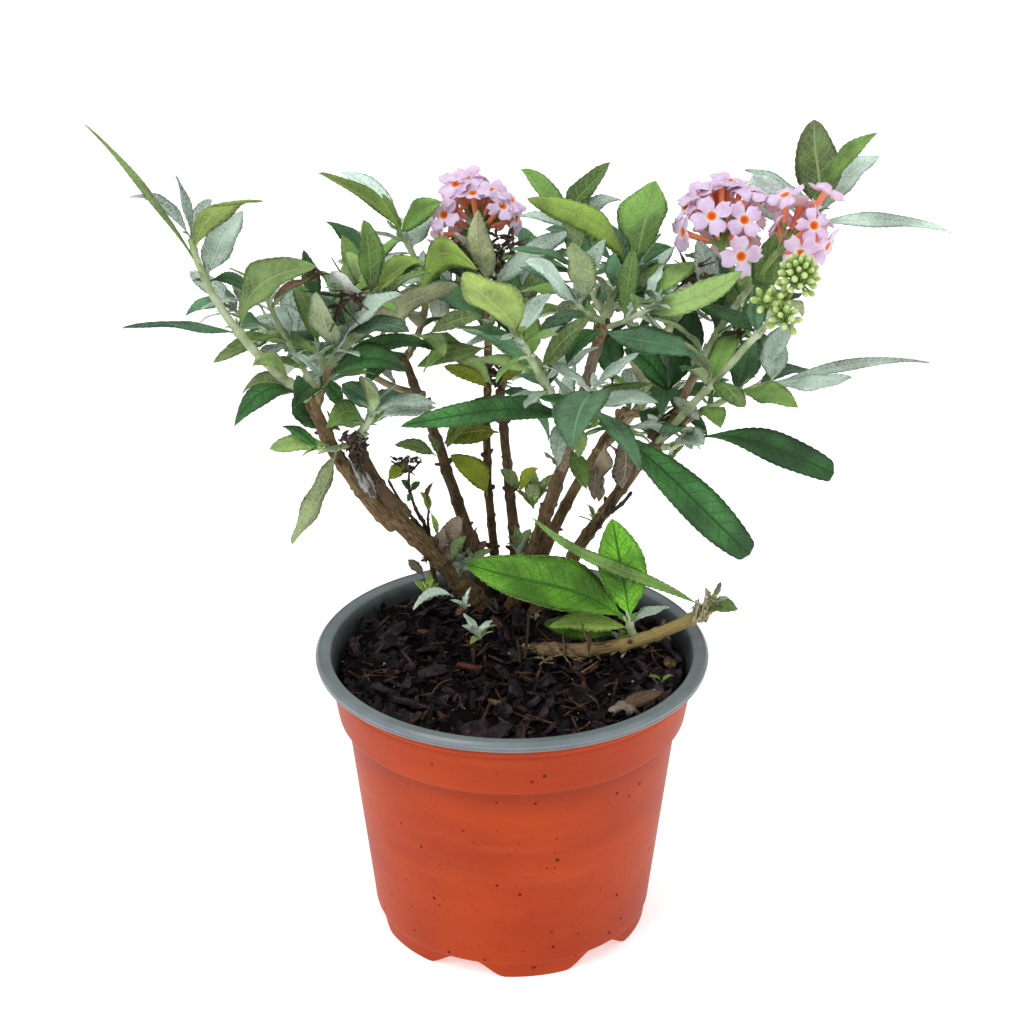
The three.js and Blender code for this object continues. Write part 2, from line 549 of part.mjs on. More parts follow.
      { at: 0.45, tip: [-92, 52, 198], pairs: { from: 0.4, step: 0.3, length: [30, 24], spread: [62, 40] } },
      { at: 0.6, tip: [-50, 96, 198], pairs: { from: 0.4, step: 0.3, length: [30, 24], spread: [62, 40] } },
    ],
  },
};

// Opposite pairs of leaves, each pair turned a quarter from the last, longest at the twig's foot.
function pairedLeaves(curve, rule, seed) {
  const leaves = [];
  let node = 0;
  for (let at = rule.from; at <= 1.001; at += rule.step) {
    const t = Math.min(at, 1);
    const along = curve.getTangent(t);
    const across = new THREE.Vector3().crossVectors(up, along).normalize();
    for (const half of [0, 1]) {
      const random = randomFrom(seed * 97 + node * 2 + half);
      const about = 90 * (node % 2) + 180 * half + (random() - 0.5) * 50;
      const outward = across.clone().applyAxisAngle(along, about * degrees);
      const spread = mix(rule.spread[0], rule.spread[1], t) + (random() - 0.5) * 16;
      const way = along.clone().multiplyScalar(Math.cos(spread * degrees))
        .addScaledVector(outward, Math.sin(spread * degrees));
      const length = mix(rule.length[0], rule.length[1], t) * (0.8 + 0.4 * random());
      leaves.push({
        at: t,
        heading: Math.atan2(way.y, way.x) / degrees,
        rise: Math.asin(way.z) / degrees * 0.8,
        length,
        width: length * (0.28 + 0.1 * random()),
        arch: 0.08 + 0.1 * random(),
        roll: (random() - 0.5) * 40,
      });
    }
    node += 1;
  }
  return leaves;
}

const leafFrom = ([at, heading, rise, length, width, arch, roll]) => (
  { at, heading, rise, length, width, arch, roll }
);

// Florets fan out about the head's lean from the end of a short stalk.
function flowerHead({ from, base, lean, count, spread, reach }, stem, seed) {
  const random = randomFrom(seed);
  const axis = direction(...lean);
  const heart = point(base).addScaledVector(axis, -floret.sink);
  const side = new THREE.Vector3().crossVectors(up, axis).normalize();
  let solid = solidOf(taper(new THREE.LineCurve3(stem.getPoint(from), point(base)), [0.9, 1.3], sideTwig));
  for (let i = 0; i < count; i += 1) {
    const off = (spread / 2) * Math.sqrt((i + 0.4) / count);
    const way = axis.clone().applyAxisAngle(side, off * degrees)
      .applyAxisAngle(axis, (i * goldenAngle + random() * 20) * degrees);
    solid = solid.add(floretSolid(heart, way, reach * (0.85 + 0.3 * random()), random));
  }
  return solid;
}

// A cluster of buds: one knobbly egg of alternating long and short corners on its stalk.
function budCluster([x, y, z, size], axisTip) {
  const centre = new THREE.Vector3(x, y, z);
  const lump = new THREE.IcosahedronGeometry(size / 2, 1);
  const corner = new THREE.Vector3();
  for (let i = 0; i < lump.attributes.position.count; i += 1) {
    corner.fromBufferAttribute(lump.attributes.position, i);
    const knob = Math.sin(corner.x * 3.1) * Math.sin(corner.y * 2.7) > 0 ? 1.12 : 0.82;
    corner.multiplyScalar(knob).setZ(corner.z * 1.25).add(centre);
    lump.attributes.position.setXYZ(i, corner.x, corner.y, corner.z);
  }
  const stalk = taper(new THREE.LineCurve3(axisTip, centre), [0.9, 0.9], { sides: 3, steps: 1 });
  return solidOf(lump).add(solidOf(stalk));
}

// The woody part of a mass, with its blossom or buds, and the shoots that its leaves stand on.
function growWood(name, number) {
  const mass = masses[name];
  const parent = limbCurve[mass.on];
  const root = parent.getPoint(mass.at).addScaledVector(parent.getTangent(mass.at), mass.at === 1 ? gap : 0);
  const stem = bowed(root, point(mass.tip), mass.bow);
  let solid = solidOf(taper(stem, mass.radius, twig));
  const shoots = [{ curve: stem, posed: mass.posed, pairs: mass.pairs }];
  for (const { at, tip, posed, pairs } of mass.twigs ?? []) {
    const from = stem.getPoint(at);
    const sag = [0, 0, -twigSag * from.distanceTo(point(tip))];
    const curve = bowed(from, point(tip), sag);
    shoots.push({ curve, posed, pairs });
    solid = solid.add(solidOf(taper(curve, [1, 0.7], sideTwig)));
  }
  (mass.heads ?? []).forEach((head, i) => {
    solid = solid.add(flowerHead(head, stem, number * 31 + i));
  });
  (mass.buds ?? []).forEach((cluster, i) => {
    solid = solid.add(budCluster(cluster, stem.getPoint(1 - 0.1 * i)));
  });
  return { solid: solid.subtract(solidOf(limbGeometry(mass.on, gap))), shoots };
}

// Adds the leaves that find room to a mass's wood.
function growLeaves(name, number, { solid, shoots }) {
  let grown = solid;
  shoots.forEach(({ curve, posed, pairs }, c) => {
    const leaves = (posed ?? []).map(leafFrom);
    if (pairs) leaves.push(...pairedLeaves(curve, pairs, number * 11 + c));
    for (const leaf of leaves) {
      const root = curve.getPoint(leaf.at);
      const clear = clearLeaf(root, leaf, name);
      if (clear) {
        const bladeSolid = leafBlade(root, clear);
        place(bladeSolid, name, true);
        grown = grown.add(bladeSolid);
      }
    }
  });
  return geometryOf(whole(grown));
}

// ---- assembly -----------------------------------------------------------------------------------
const finishes = {
  orange: { color: 0xc85532, roughness: 0.5, metalness: 0 },
  grey: { color: 0x737d82, roughness: 0.35, metalness: 0 },
  compost: { color: 0x2a1f1c, roughness: 0.95, metalness: 0 },
  bark: { color: 0x7a6450, roughness: 0.9, metalness: 0 },
  leaf: { color: 0x5d7f4c, roughness: 0.8, metalness: 0 },
  flower: { color: 0xd8a8d4, roughness: 0.8, metalness: 0 },
};

const bush = new THREE.Group();

function addPart(name, geometry, finish) {
  const mesh = new THREE.Mesh(geometry, new THREE.MeshStandardMaterial(finishes[finish]));
  mesh.name = name;
  bush.add(mesh);
}

addPart("pot", potWall(), "orange");
addPart("pot_lining", potLining(), "grey");
addPart("compost", compost(), "compost");
for (const name of Object.keys(limbs)) {
  addPart(name, limbGeometry(name), "bark");
  place(solidOf(limbGeometry(name)), name, false);
}
for (const geometry of [potLining(), compost()]) place(solidOf(geometry), "pot", false);
const woods = Object.keys(masses).map((name, i) => {
  const wood = growWood(name, i + 1);
  place(wood.solid, name, false);
  return wood;
});
Object.keys(masses).forEach((name, i) => {
  addPart(name, growLeaves(name, i + 1, woods[i]), name.startsWith("flower") ? "flower" : "leaf");
});

export default bush;
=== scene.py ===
import math
import random
import bpy
from mathutils import Matrix, Vector, noise
from mathutils.bvhtree import BVHTree


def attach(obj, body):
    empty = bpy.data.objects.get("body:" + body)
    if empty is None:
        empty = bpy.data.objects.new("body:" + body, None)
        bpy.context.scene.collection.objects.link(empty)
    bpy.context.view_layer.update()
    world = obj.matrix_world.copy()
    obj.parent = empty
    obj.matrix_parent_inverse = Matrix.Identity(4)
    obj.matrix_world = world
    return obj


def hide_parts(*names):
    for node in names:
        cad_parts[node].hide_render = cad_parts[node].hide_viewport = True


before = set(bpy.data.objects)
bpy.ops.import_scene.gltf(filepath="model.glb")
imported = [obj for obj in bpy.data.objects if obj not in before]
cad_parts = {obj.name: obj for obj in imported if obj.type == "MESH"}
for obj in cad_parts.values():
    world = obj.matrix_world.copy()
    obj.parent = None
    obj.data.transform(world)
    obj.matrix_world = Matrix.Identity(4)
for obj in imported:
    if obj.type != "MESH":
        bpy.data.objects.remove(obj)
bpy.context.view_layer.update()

mm = 0.001  # tables are in millimetres, meshes in metres
print("frame loaded")


def tint(colour):  # red, green and blue from 0 to 255, as linear light
    def linear(value):
        value /= 255
        return value / 12.92 if value <= 0.04045 else ((value + 0.055) / 1.055) ** 2.4
    return (*map(linear, colour), 1.0)


def shaded(colour, share):
    return tuple(min(255, value * share) for value in colour)


def ease(low, high, value):
    t = min(1, max(0, (value - low) / (high - low)))
    return t * t * (3 - 2 * t)


def lerp(a, b, t):
    return a + (b - a) * t


def direction(heading, rise):  # heading from +X by +Y, rise above level, in degrees
    level = math.cos(math.radians(rise))
    return Vector((level * math.cos(math.radians(heading)), level * math.sin(math.radians(heading)),
                   math.sin(math.radians(rise))))


def turned(vector, axis, degrees):
    return Matrix.Rotation(math.radians(degrees), 3, axis) @ vector


def aroundAxis(way):  # two directions square to it
    side = way.cross(Vector((0.31, 0.17, 0.93))).normalized()
    return side, side.cross(way)


def drift(run, lane, step, level):  # how far a middle line wanders
    return Vector([noise.noise(Vector((run, lane + i * step, level))) for i in range(3)])


def circle(middle, across, over, radius, count):
    return [middle + across * radius * math.cos(a) + over * radius * math.sin(a)
            for a in [2 * math.pi * k / count for k in range(count)]]


# Node trees: a Wire is one output socket, and maths on it adds Math nodes to its tree.
class Wire:
    def __init__(self, graph, socket):
        self.graph = graph
        self.socket = socket

    def pick(self, key):
        return Wire(self.graph, self.graph.find(self.socket.node.outputs, key))

    def __add__(self, other):
        return self.graph.maths("ADD", self, other)

    def __radd__(self, other):
        return self.graph.maths("ADD", other, self)

    def __sub__(self, other):
        return self.graph.maths("SUBTRACT", self, other)

    def __rsub__(self, other):
        return self.graph.maths("SUBTRACT", other, self)

    def __mul__(self, other):
        return self.graph.maths("MULTIPLY", self, other)

    def __rmul__(self, other):
        return self.graph.maths("MULTIPLY", other, self)

    def __truediv__(self, other):
        return self.graph.maths("DIVIDE", self, other)

    def __pow__(self, other):
        return self.graph.maths("POWER", self, other)

    def step(self, low, high):  # 0 below low, 1 above high
        return self.graph.node("ShaderNodeMapRange", {"interpolation_type": "SMOOTHSTEP"},
                               {"Value": self, "From Min": low, "From Max": high})


class Graph:
    def __init__(self, tree):
        self.tree = tree

    def find(self, sockets, key):
        if isinstance(key, int):
            return sockets[key]
        return next(s for s in sockets if s.enabled and key in (s.identifier, s.name))

    def node(self, kind, settings=None, values=None, out=0):
        made = self.tree.nodes.new(kind)
        for key, value in (settings or {}).items():
            setattr(made, key, value)
        for key, value in (values or {}).items():
            socket = self.find(made.inputs, key)
            if isinstance(value, Wire):
                self.tree.links.new(value.socket, socket)
            else:
                socket.default_value = value
        return Wire(self, self.find(made.outputs, out)) if made.outputs else made

    def maths(self, operation, first, second=0.0):
        return self.node("ShaderNodeMath", {"operation": operation}, {0: first, 1: second})

    def stretch(self, place, scale):
        return self.node("ShaderNodeVectorMath", {"operation": "MULTIPLY"}, {0: place, 1: scale})

    def part(self, vector, label):
        return self.node("ShaderNodeSeparateXYZ", None, {0: vector}, label)


class Growth(Graph):  # a geometry tree: its first input is the shape it grows on, its last one the Finish
    def __init__(self, name, inputs):
        super().__init__(bpy.data.node_groups.new(name, "GeometryNodeTree"))
        for label, kind in inputs.items():
            self.tree.interface.new_socket(label, in_out="INPUT", socket_type="NodeSocket" + kind)
        self.tree.interface.new_socket("Grown", in_out="OUTPUT", socket_type="NodeSocketGeometry")
        self.given = self.node("NodeGroupInput")

    def attribute(self, name, kind="FLOAT"):
        return self.node("GeometryNodeInputNamedAttribute", {"data_type": kind}, {"Name": name}, "Attribute")

    def store(self, shape, name, value, kind="FLOAT"):
        return self.node("GeometryNodeStoreNamedAttribute", {"data_type": kind},
                         {"Geometry": shape, "Name": name, "Value": value})

    def close(self, shape):
        real = self.node("GeometryNodeRealizeInstances", None, {"Geometry": shape})
        finish = self.given.pick("Finish")
        done = self.node("GeometryNodeSetMaterial", None, {"Geometry": real, "Material": finish})
        self.node("NodeGroupOutput", None, {"Grown": done})
        return self.tree


class Finish(Graph):  # a material round one Principled shader
    def __init__(self, name):
        self.material = bpy.data.materials.new(name)
        self.material.use_nodes = True
        super().__init__(self.material.node_tree)
        self.tree.nodes.clear()
        self.shader = self.tree.nodes.new("ShaderNodeBsdfPrincipled")
        end = self.tree.nodes.new("ShaderNodeOutputMaterial")
        self.tree.links.new(self.shader.outputs[0], end.inputs[0])
        self.place = self.node("ShaderNodeTexCoord", out="Object")

    def grain(self, scale, detail=2.0, place=None, rough=0.5):
        scale = scale if isinstance(scale, tuple) else (scale,) * 3
        return self.node("ShaderNodeTexNoise", None,
                         {"Vector": self.stretch(place or self.place, scale), "Scale": 1.0, "Detail": detail,
                          "Roughness": rough})

    def cells(self, scale, feature="F1"):
        return self.node("ShaderNodeTexVoronoi", {"feature": feature},
                         {"Vector": self.stretch(self.place, (scale,) * 3), "Scale": 1.0, "Randomness": 1.0},
                         "Distance")

    def mark(self, label):  # the pattern place that a corner carries
        return self.part(self.node("ShaderNodeUVMap", {"uv_map": "UVMap"}), label)

    def barkPlace(self):  # the place round and along a limb
        return self.node("ShaderNodeAttribute", {"attribute_name": "barkPlace"}, out="Vector")

    def blend(self, factor, first, second):  # each colour is a link, or a tuple from 0 to 255
        ends = [tint(end) if isinstance(end, tuple) else end for end in (first, second)]
        return self.node("ShaderNodeMix", {"data_type": "RGBA"},
                         {"Factor_Float": factor, "A_Color": ends[0], "B_Color": ends[1]}, "Result_Color")

    def done(self, colour, roughness, height=None, depth=0.3, specular=0.5, fixed=None):
        inputs = {"Base Color": colour, "Roughness": roughness, "Specular IOR Level": specular}
        inputs.update(fixed or {})
        if height is not None:
            bump = {"Strength": depth, "Distance": mm, "Height": height}
            inputs["Normal"] = self.node("ShaderNodeBump", None, bump, "Normal")
        for key, value in inputs.items():
            if isinstance(value, Wire):
                self.tree.links.new(value.socket, self.shader.inputs[key])
            else:
                self.shader.inputs[key].default_value = value
        return self.material


# Meshes: a Draft gathers the corners and faces of one piece, in millimetres.
class Draft:
    def __init__(self):
        self.points = []
        self.faces = []
        self.slots = []
        self.marks = []  # pattern place of each corner

    def skin(self, rings, slots=0, marks=None):  # rings joined in turn, and closed at both ends
        starts = []
        for r, ring in enumerate(rings):
            starts.append(len(self.points))
            self.points.extend(ring)
            self.marks.extend(marks[r] if marks else [(0, 0)] * len(ring))
        for r in range(len(rings) - 1):
            here, there = len(rings[r]), len(rings[r + 1])
            count = max(here, there)
            for i in range(count):
                a = starts[r] + i % here
                b = starts[r] + (i + 1) % here
                c = starts[r + 1] + (i + 1) % there
                d = starts[r + 1] + i % there
                face = [a, b, c, d]
                if here == 1:
                    face = [a, c, d]
                elif there == 1:
                    face = [a, b, d]
                self.faces.append(face)
                self.slots.append(slots[i] if isinstance(slots, list) else slots)
        for end in (0, -1):
            loop = [starts[end] + i for i in range(len(rings[end]))]
            if len(loop) > 2:
                self.faces.append(loop if end else loop[::-1])
                self.slots.append(slots[0] if isinstance(slots, list) else slots)

    def mesh(self, name, finishes):
        mesh = bpy.data.meshes.new(name)
        mesh.from_pydata([p * mm for p in self.points], [], self.faces)
        for finish in finishes:
            mesh.materials.append(finish)
        mesh.polygons.foreach_set("material_index", self.slots)
        mesh.polygons.foreach_set("use_smooth", [True] * len(self.faces))
        layer = mesh.uv_layers.new(name="UVMap")
        corner = [0] * len(mesh.loops)
        mesh.loops.foreach_get("vertex_index", corner)
        layer.data.foreach_set("uv", [value for v in corner for value in self.marks[v]])
        mesh.update()
        return mesh


def newObject(name, data):
    made = bpy.data.objects.new(name, data)
    bpy.context.scene.collection.objects.link(made)
    return made


def addPiece(name, mesh, slotName, *nodes):
    piece = newObject(name, mesh)
    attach(piece, "root")
    if nodes:
        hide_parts(*nodes)
    return piece


def dropped(*objects):
    for done in objects:
        bpy.data.objects.remove(done)


def applied(piece):  # the evaluated shape as a plain mesh, with the modifiers gone
    seen = piece.evaluated_get(bpy.context.evaluated_depsgraph_get())
    mesh = bpy.data.meshes.new_from_object(seen)
    piece.modifiers.clear()
    return mesh


# Camera, floor and lights: a lamp has its place, its size and its power
view = {"place": (0, -0.66754, 0.45271), "pitch": 24.51, "lens": 80, "sensor": 36}
studio = {
    "floor": ((252, 252, 252), (250, 250, 251)), "glow": 0.5, "world": 0.5, "reach": 6000, "depth": 20,
    "aim": (0, 0, 0.15),
    "lamps": {
        "keyLight": ((-0.9, -0.9, 1.5), 1.0, 14),
        "fillLight": ((1.2, -0.7, 0.8), 1.2, 4),
        "topLight": ((0.1, 0.5, 1.6), 1.2, 9),
    },
}


def buildStudio():
    scene = bpy.context.scene
    lens = bpy.data.cameras.new("camera")
    lens.lens = view["lens"]
    lens.sensor_width = view["sensor"]
    camera = newObject("camera", lens)
    camera.location = view["place"]
    camera.rotation_euler = (math.radians(90 - view["pitch"]), 0, 0)
    scene.camera = camera
    scene.view_settings.view_transform = "Standard"
    world = bpy.data.worlds.new("softRoom")
    world.use_nodes = True
    air = world.node_tree.nodes["Background"]
    air.inputs["Color"].default_value = (1, 1, 1, 1)
    air.inputs["Strength"].default_value = studio["world"]
    scene.world = world
    for name, (place, size, power) in studio["lamps"].items():
        lamp = bpy.data.lights.new(name, "AREA")
        lamp.size = size
        lamp.energy = power
        light = newObject(name, lamp)
        light.location = place
        light.rotation_euler = (Vector(place) - Vector(studio["aim"])).to_track_quat("Z", "Y").to_euler()
    ground = Finish("paleFloor")
    colour = ground.blend(ground.grain(3.0), *studio["floor"])
    glow = {"Emission Color": (1, 1, 1, 1), "Emission Strength": studio["glow"]}
    reach = studio["reach"]
    corners = [Vector((x, y, z)) for z in (-studio["depth"], 0) for x, y in
               ((-reach, -reach), (reach, -reach), (reach, reach), (-reach, reach))]
    slab = Draft()
    slab.skin([corners[:4], corners[4:]])
    newObject("floor", slab.mesh("floor", [ground.done(colour, 0.9, fixed=glow)]))


buildStudio()
print("studio ready")


# Pot: the orange shell, with its collar, its foot ring and the gaps between its feet
pot = {
    "segments": 240, "height": 100, "lipRadius": 65, "lipWidth": 5, "lipDrop": 3.4, "collarTop": 60.4,
    "collarBottom": 57.9, "collarFoot": 78, "wallTop": 55, "wallFoot": 47.1, "footRadius": 45.9,
    "discRadius": 39, "notchHeight": 5.5, "wall": 0.8, "floor": 1.6, "feet": 6, "notchTop": 3.5,
    "notchFoot": 17.5, "footTurn": -80, "drainRadius": 2.5, "drainRing": 29,
    "dent": {"turn": -81, "height": 3.6, "half": (0.9, 0.5), "reach": (45.4, 50)},  # in the front foot
}


def turnedDraft(profileAt, ringShaped):  # a profile of (radius, height), turned about the pot's axis
    draft = Draft()
    segments = pot["segments"]
    for s in range(segments):
        angle = 2 * math.pi * s / segments
        profile = profileAt(math.degrees(angle))
        ring = [Vector((r * math.cos(angle), r * math.sin(angle), z)) for r, z in profile]
        draft.points.extend(ring)
        draft.marks.extend([(0, 0)] * len(ring))
    count = len(ring)
    for s in range(segments):
        a = s * count
        b = ((s + 1) % segments) * count
        draft.faces += [[a + i, b + i, b + i + 1, a + i + 1] for i in range(count - 1)]
        if ringShaped:  # its last corner meets its first
            draft.faces.append([a + count - 1, b + count - 1, b, a])
    if not ringShaped:
        draft.faces.append([s * count for s in range(segments)][::-1])
        draft.faces.append([s * count + count - 1 for s in range(segments)])
    draft.slots = [0] * len(draft.faces)
    return draft


def roundOff(profile, steps=3, share=0.3, reach=0.9):
    made = [profile[0]]
    for before, here, after in zip(profile, profile[1:], profile[2:]):
        before, here, after = Vector(before), Vector(here), Vector(after)
        start = here + (before - here).normalized() * min(reach, share * (before - here).length)
        end = here + (after - here).normalized() * min(reach, share * (after - here).length)
        for k in range(steps + 1):
            t = k / steps
            made.append(tuple((1 - t) ** 2 * start + 2 * t * (1 - t) * here + t * t * end))
    return made + [profile[-1]]


def potProfile(heading):
    p = pot
    pitch = 360 / p["feet"]
    off = abs((heading - p["footTurn"]) % pitch - pitch / 2)  # degrees from the nearest gap's middle
    lift = p["notchHeight"] * (1 - ease(p["notchTop"], p["notchFoot"], off))
    under = p["height"] - p["lipDrop"] - 0.3
    disc, foot, low, high = p["discRadius"], p["footRadius"], p["wallFoot"], p["wallTop"]
    notch, ledge, collar, brim = p["notchHeight"], p["collarFoot"], p["collarBottom"], p["collarTop"]
    outside = [
        (0.01, 0), (disc, 0), (disc + 1.5, lift), (foot - 0.3, lift), (foot, lift + 0.01),
        (foot + 0.15, notch - 0.4 + lift * 0.05), (low, notch + 0.5), (low + 0.6, 12), (high - 1.1, 66),
        (high, ledge - 2.4), (high + 0.7, ledge - 1.2), (collar - 0.2, ledge - 0.35),
        (collar + 0.1, ledge + 0.7), (brim - 0.35, under - 5.0), (brim - 0.5, under - 3.9),
        (brim + 0.75, under - 3.1), (brim + 0.6, under - 0.2),
    ]
    wall, floor = p["wall"], p["floor"]
    inside = [(brim - wall, under - 0.2), (brim - wall, under - 3), (collar - wall, ledge + 0.4),
              (high - wall, ledge - 2.6), (low - wall, notch + floor), (0.01, notch + floor)]
    return roundOff(outside + inside)


def orangeFinish():
    # the "ledge" tone is painted shade for the crease under the collar
    values = {"body": (178, 62, 12), "deep": (164, 52, 6), "dusty": (190, 82, 40), "speck": (66, 22, 12),
              "ledge": (126, 38, 6)}
    f = Finish("orangePlastic")
    cloud = f.grain((22, 22, 40), 3.0)
    bands = f.grain((5, 5, 260), 2.0)
    wipe = f.grain((14, 14, 120), 3.0)
    colour = f.blend(cloud.step(0.35, 0.7), values["body"], values["deep"])
    colour = f.blend(bands.step(0.45, 0.75) * 0.18, colour, values["deep"])
    colour = f.blend(wipe.step(0.5, 0.8) * 0.4, colour, values["dusty"])
    cells = f.cells(260)
    chance = f.node("ShaderNodeSeparateColor", None, {0: cells.pick("Color")})
    patchy = f.grain(46, 3.0)
    near = 1 - (cells + f.grain(1500, 2.0) * 0.12 - chance.pick("Green") ** 4 * 0.14).step(0.09, 0.15)
    high = f.part(f.place, "Z")
    low = 1 - high.step(0.0, 0.09)
    speck = near * (chance + low * 0.14 + (patchy - 0.5) * 1.1).step(0.54, 0.58)
    grains = f.cells(640)
    sown = f.node("ShaderNodeSeparateColor", None, {0: grains.pick("Color")})
    fine = 1 - grains.step(0.12, 0.24)
    fine = fine * (sown + low * 0.15 + (f.grain(34, 2.0) - 0.5) * 1.3).step(0.72, 0.78)
    # painted shade: the wall darkens upward into the crease under the collar's overhang
    ledge = high.step(0.062, 0.0765) * (1 - high.step(0.0765, 0.0772))
    colour = f.blend(ledge * ledge * 0.45, colour, values["ledge"])
    colour = f.blend(fine * 0.55, colour, values["speck"])
    colour = f.blend(speck * 0.85, colour, values["speck"])
    gloss = 0.4 + wipe * 0.16 + speck * 0.3
    height = f.grain(900, 2.0) * 0.06 + wipe * 0.12 + speck * 0.4
    return f.done(colour, gloss, height, 0.12, specular=0.18)


def greyFinish():
    # the dark inner-wall tone is painted shade with some dirt
    values = {"body": (106, 116, 120), "pale": (121, 132, 136), "dust": (160, 160, 152), "soil": (42, 42, 40)}
    f = Finish("greyPlastic")
    cloud = f.grain(60, 3.0)
    dust = f.grain(1400, 2.0).step(0.62, 0.72)
    level = f.stretch(f.place, (1, 1, 0))
    reach = f.node("ShaderNodeVectorMath", {"operation": "LENGTH"}, {0: level}, "Value")
    soiled = 1 - (reach + (f.grain(180, 3.0) - 0.5) * 0.0012).step(0.0588, 0.0602)  # painted shade with some dirt on the inner wall below the lip
    colour = f.blend(cloud.step(0.3, 0.7), values["body"], values["pale"])
    colour = f.blend(dust * 0.35, colour, values["dust"])
    colour = f.blend(soiled * 0.7, colour, values["soil"])
    return f.done(colour, 0.26 + cloud * 0.1, dust * 0.3, 0.08)


def buildPot():
    shell = newObject("potDraft", turnedDraft(potProfile, False).mesh("potShell", [orangeFinish()]))
    right, back, upward = Matrix.Identity(3)
    cutters = Draft()
    for i in range(pot["feet"]):
        middle = direction(pot["footTurn"] + (i + 0.5) * 360 / pot["feet"], 0) * pot["drainRing"]
        cutters.skin([circle(middle + upward * z, right, back, pot["drainRadius"], 24) for z in (-2, 12)])
    dent = pot["dent"]
    outward, across = direction(dent["turn"], 0), direction(dent["turn"] + 90, 0)
    wide, tall = dent["half"]
    cutters.skin([circle(outward * r + upward * dent["height"], across * wide, upward * tall, 1, 12)
                  for r in dent["reach"]])
    tool = newObject("drains", cutters.mesh("drains", []))
    cut = shell.modifiers.new("drains", "BOOLEAN")
    cut.operation = "DIFFERENCE"
    cut.solver = "EXACT"
    cut.object = tool
    mesh = applied(shell)
    dropped(shell, tool)
    addPiece("potShell", mesh, "pot_orange", "pot")


def liningProfile(heading):  # the same at each heading
    p = pot
    top, r = p["height"], p["lipRadius"]
    under = top - p["lipDrop"]
    base = p["notchHeight"] + p["floor"] + 0.3
    out = p["wall"] + 0.3
    within = out + p["wall"]
    low, high = p["wallFoot"], p["wallTop"]
    ledge, collar, brim = p["collarFoot"], p["collarBottom"], p["collarTop"]
    return roundOff([
        (low - out, base), (high - out, ledge - 2.6), (collar - out, ledge + 0.4), (brim - out, under - 3),
        (brim - out, under), (r - 1.2, under), (r - 0.35, under + 0.15), (r - 0.25, under + 0.75),
        (r - 0.5, under + 1.05), (r - 0.02, under + 1.4), (r, under + 2.2), (r - 0.35, top - 0.75),
        (r - 0.9, top - 0.1), (r - 1.3, top), (r - 1.6, top - 0.35), (r - 3.4, top - 0.3),
        (r - p["lipWidth"], top - 0.7), (brim - within, under - 3), (collar - within, ledge + 0.8),
        (high - within, ledge - 2.2), (low - within, base),
    ], 2, 0.3, 0.5)


def buildLining():
    lining = turnedDraft(liningProfile, True)
    addPiece("potLining", lining.mesh("potLining", [greyFinish()]), "pot_grey", "pot_lining")


buildPot()
buildLining()
print("pot ready")


# Compost: a dark crumbly bed with bark chips, fibres and specks strewn on it by geometry nodes
compost = {
    "top": 92, "level": 46, "edge": 56.2, "drop": 0.9, "rise": 2.2, "riseOver": (5, 50), "banked": 2.2,
    "bankOver": (18, 54), "rough": 2.3, "rings": 64, "segments": 220, "foot": 7.4,
    "strewnOver": 0.0885,  # in metres, as the tree reads it
}


def bedHeight(x, y):
    reach = math.hypot(x, y)
    base = compost["top"] - compost["drop"] * ease(compost["level"], compost["edge"], reach)
    base += compost["rise"] * ease(*compost["riseOver"], y - 0.3 * x)
    base += compost["banked"] * ease(*compost["bankOver"], math.hypot(x, max(0, y)))
    broad = noise.noise(Vector((x * 0.09, y * 0.09, 3.1))) * compost["rough"]
    crumb = noise.noise(Vector((x * 0.35, y * 0.35, 8.2))) * 0.75 + noise.noise(Vector((x, y, 1.7))) * 0.35
    return base + (broad + crumb) * ease(compost["edge"] + 0.5, compost["edge"] - 4, reach) - 0.4


def bedFinish():
    values = {"dark": (7, 5, 6), "pale": (22, 15, 16), "fleck": (84, 68, 56)}
    f = Finish("compostCrumb")
    coarse = f.grain(420, 4.0)
    fine = f.grain(1600, 3.0)
    colour = f.blend(coarse.step(0.4, 0.7), values["dark"], values["pale"])
    colour = f.blend(fine.step(0.7, 0.76), colour, values["fleck"])
    return f.done(colour, 0.75 + fine * 0.2, coarse * 1.2 + fine * 0.6, 0.9, specular=0.08)


def buildBed():
    around = [2 * math.pi * s / compost["segments"] for s in range(compost["segments"])]
    rings = []
    for k in range(compost["rings"] + 1):
        r = compost["edge"] * (k / compost["rings"]) ** 0.85 if k else 0.3
        flat = [(r * math.cos(a), r * math.sin(a)) for a in around]
        rings.append([Vector((x, y, bedHeight(x, y))) for x, y in flat])
    inset = 2 * pot["wall"] + 0.9
    for r, z in ((pot["collarBottom"] - inset, pot["collarFoot"] + 1.2),
                 (pot["wallTop"] - inset, pot["collarFoot"] - 2.2),
                 (pot["wallFoot"] - inset, compost["foot"]), (0.3, compost["foot"])):
        rings.append([Vector((r * math.cos(a), r * math.sin(a), z)) for a in around])
    draft = Draft()
    draft.skin([ring[::-1] for ring in rings])
    return addPiece("compostBed", draft.mesh("compostBed", [bedFinish()]), "compost", "compost")


def chipMesh(name, seed, length, width, depth, bend=0.0):
    rnd = random.Random(seed)
    draft = Draft()
    rings = []
    steps = 4
    for k in range(steps + 1):
        t = k / steps
        taper = (0.55 + 0.45 * math.sin(math.pi * min(0.92, max(0.08, t)))) * rnd.uniform(0.85, 1.15)
        sway = bend * length * math.sin(math.pi * t)
        middle = Vector(((t - 0.5) * length, sway, rnd.uniform(-0.1, 0.1) * depth))
        ring = []
        for c in range(6):
            a = 2 * math.pi * (c + 0.5) / 6
            x = rnd.uniform(-0.06, 0.06) * length
            y = math.cos(a) * width / 2 * taper * rnd.uniform(0.85, 1.1)
            z = math.sin(a) * depth / 2 * rnd.uniform(0.7, 1.1)
            ring.append(middle + Vector((x, y, z)))
        rings.append(ring)
    draft.skin(rings)
    mesh = draft.mesh(name, [])
    mesh.polygons.foreach_set("use_smooth", [False] * len(mesh.polygons))
    return mesh


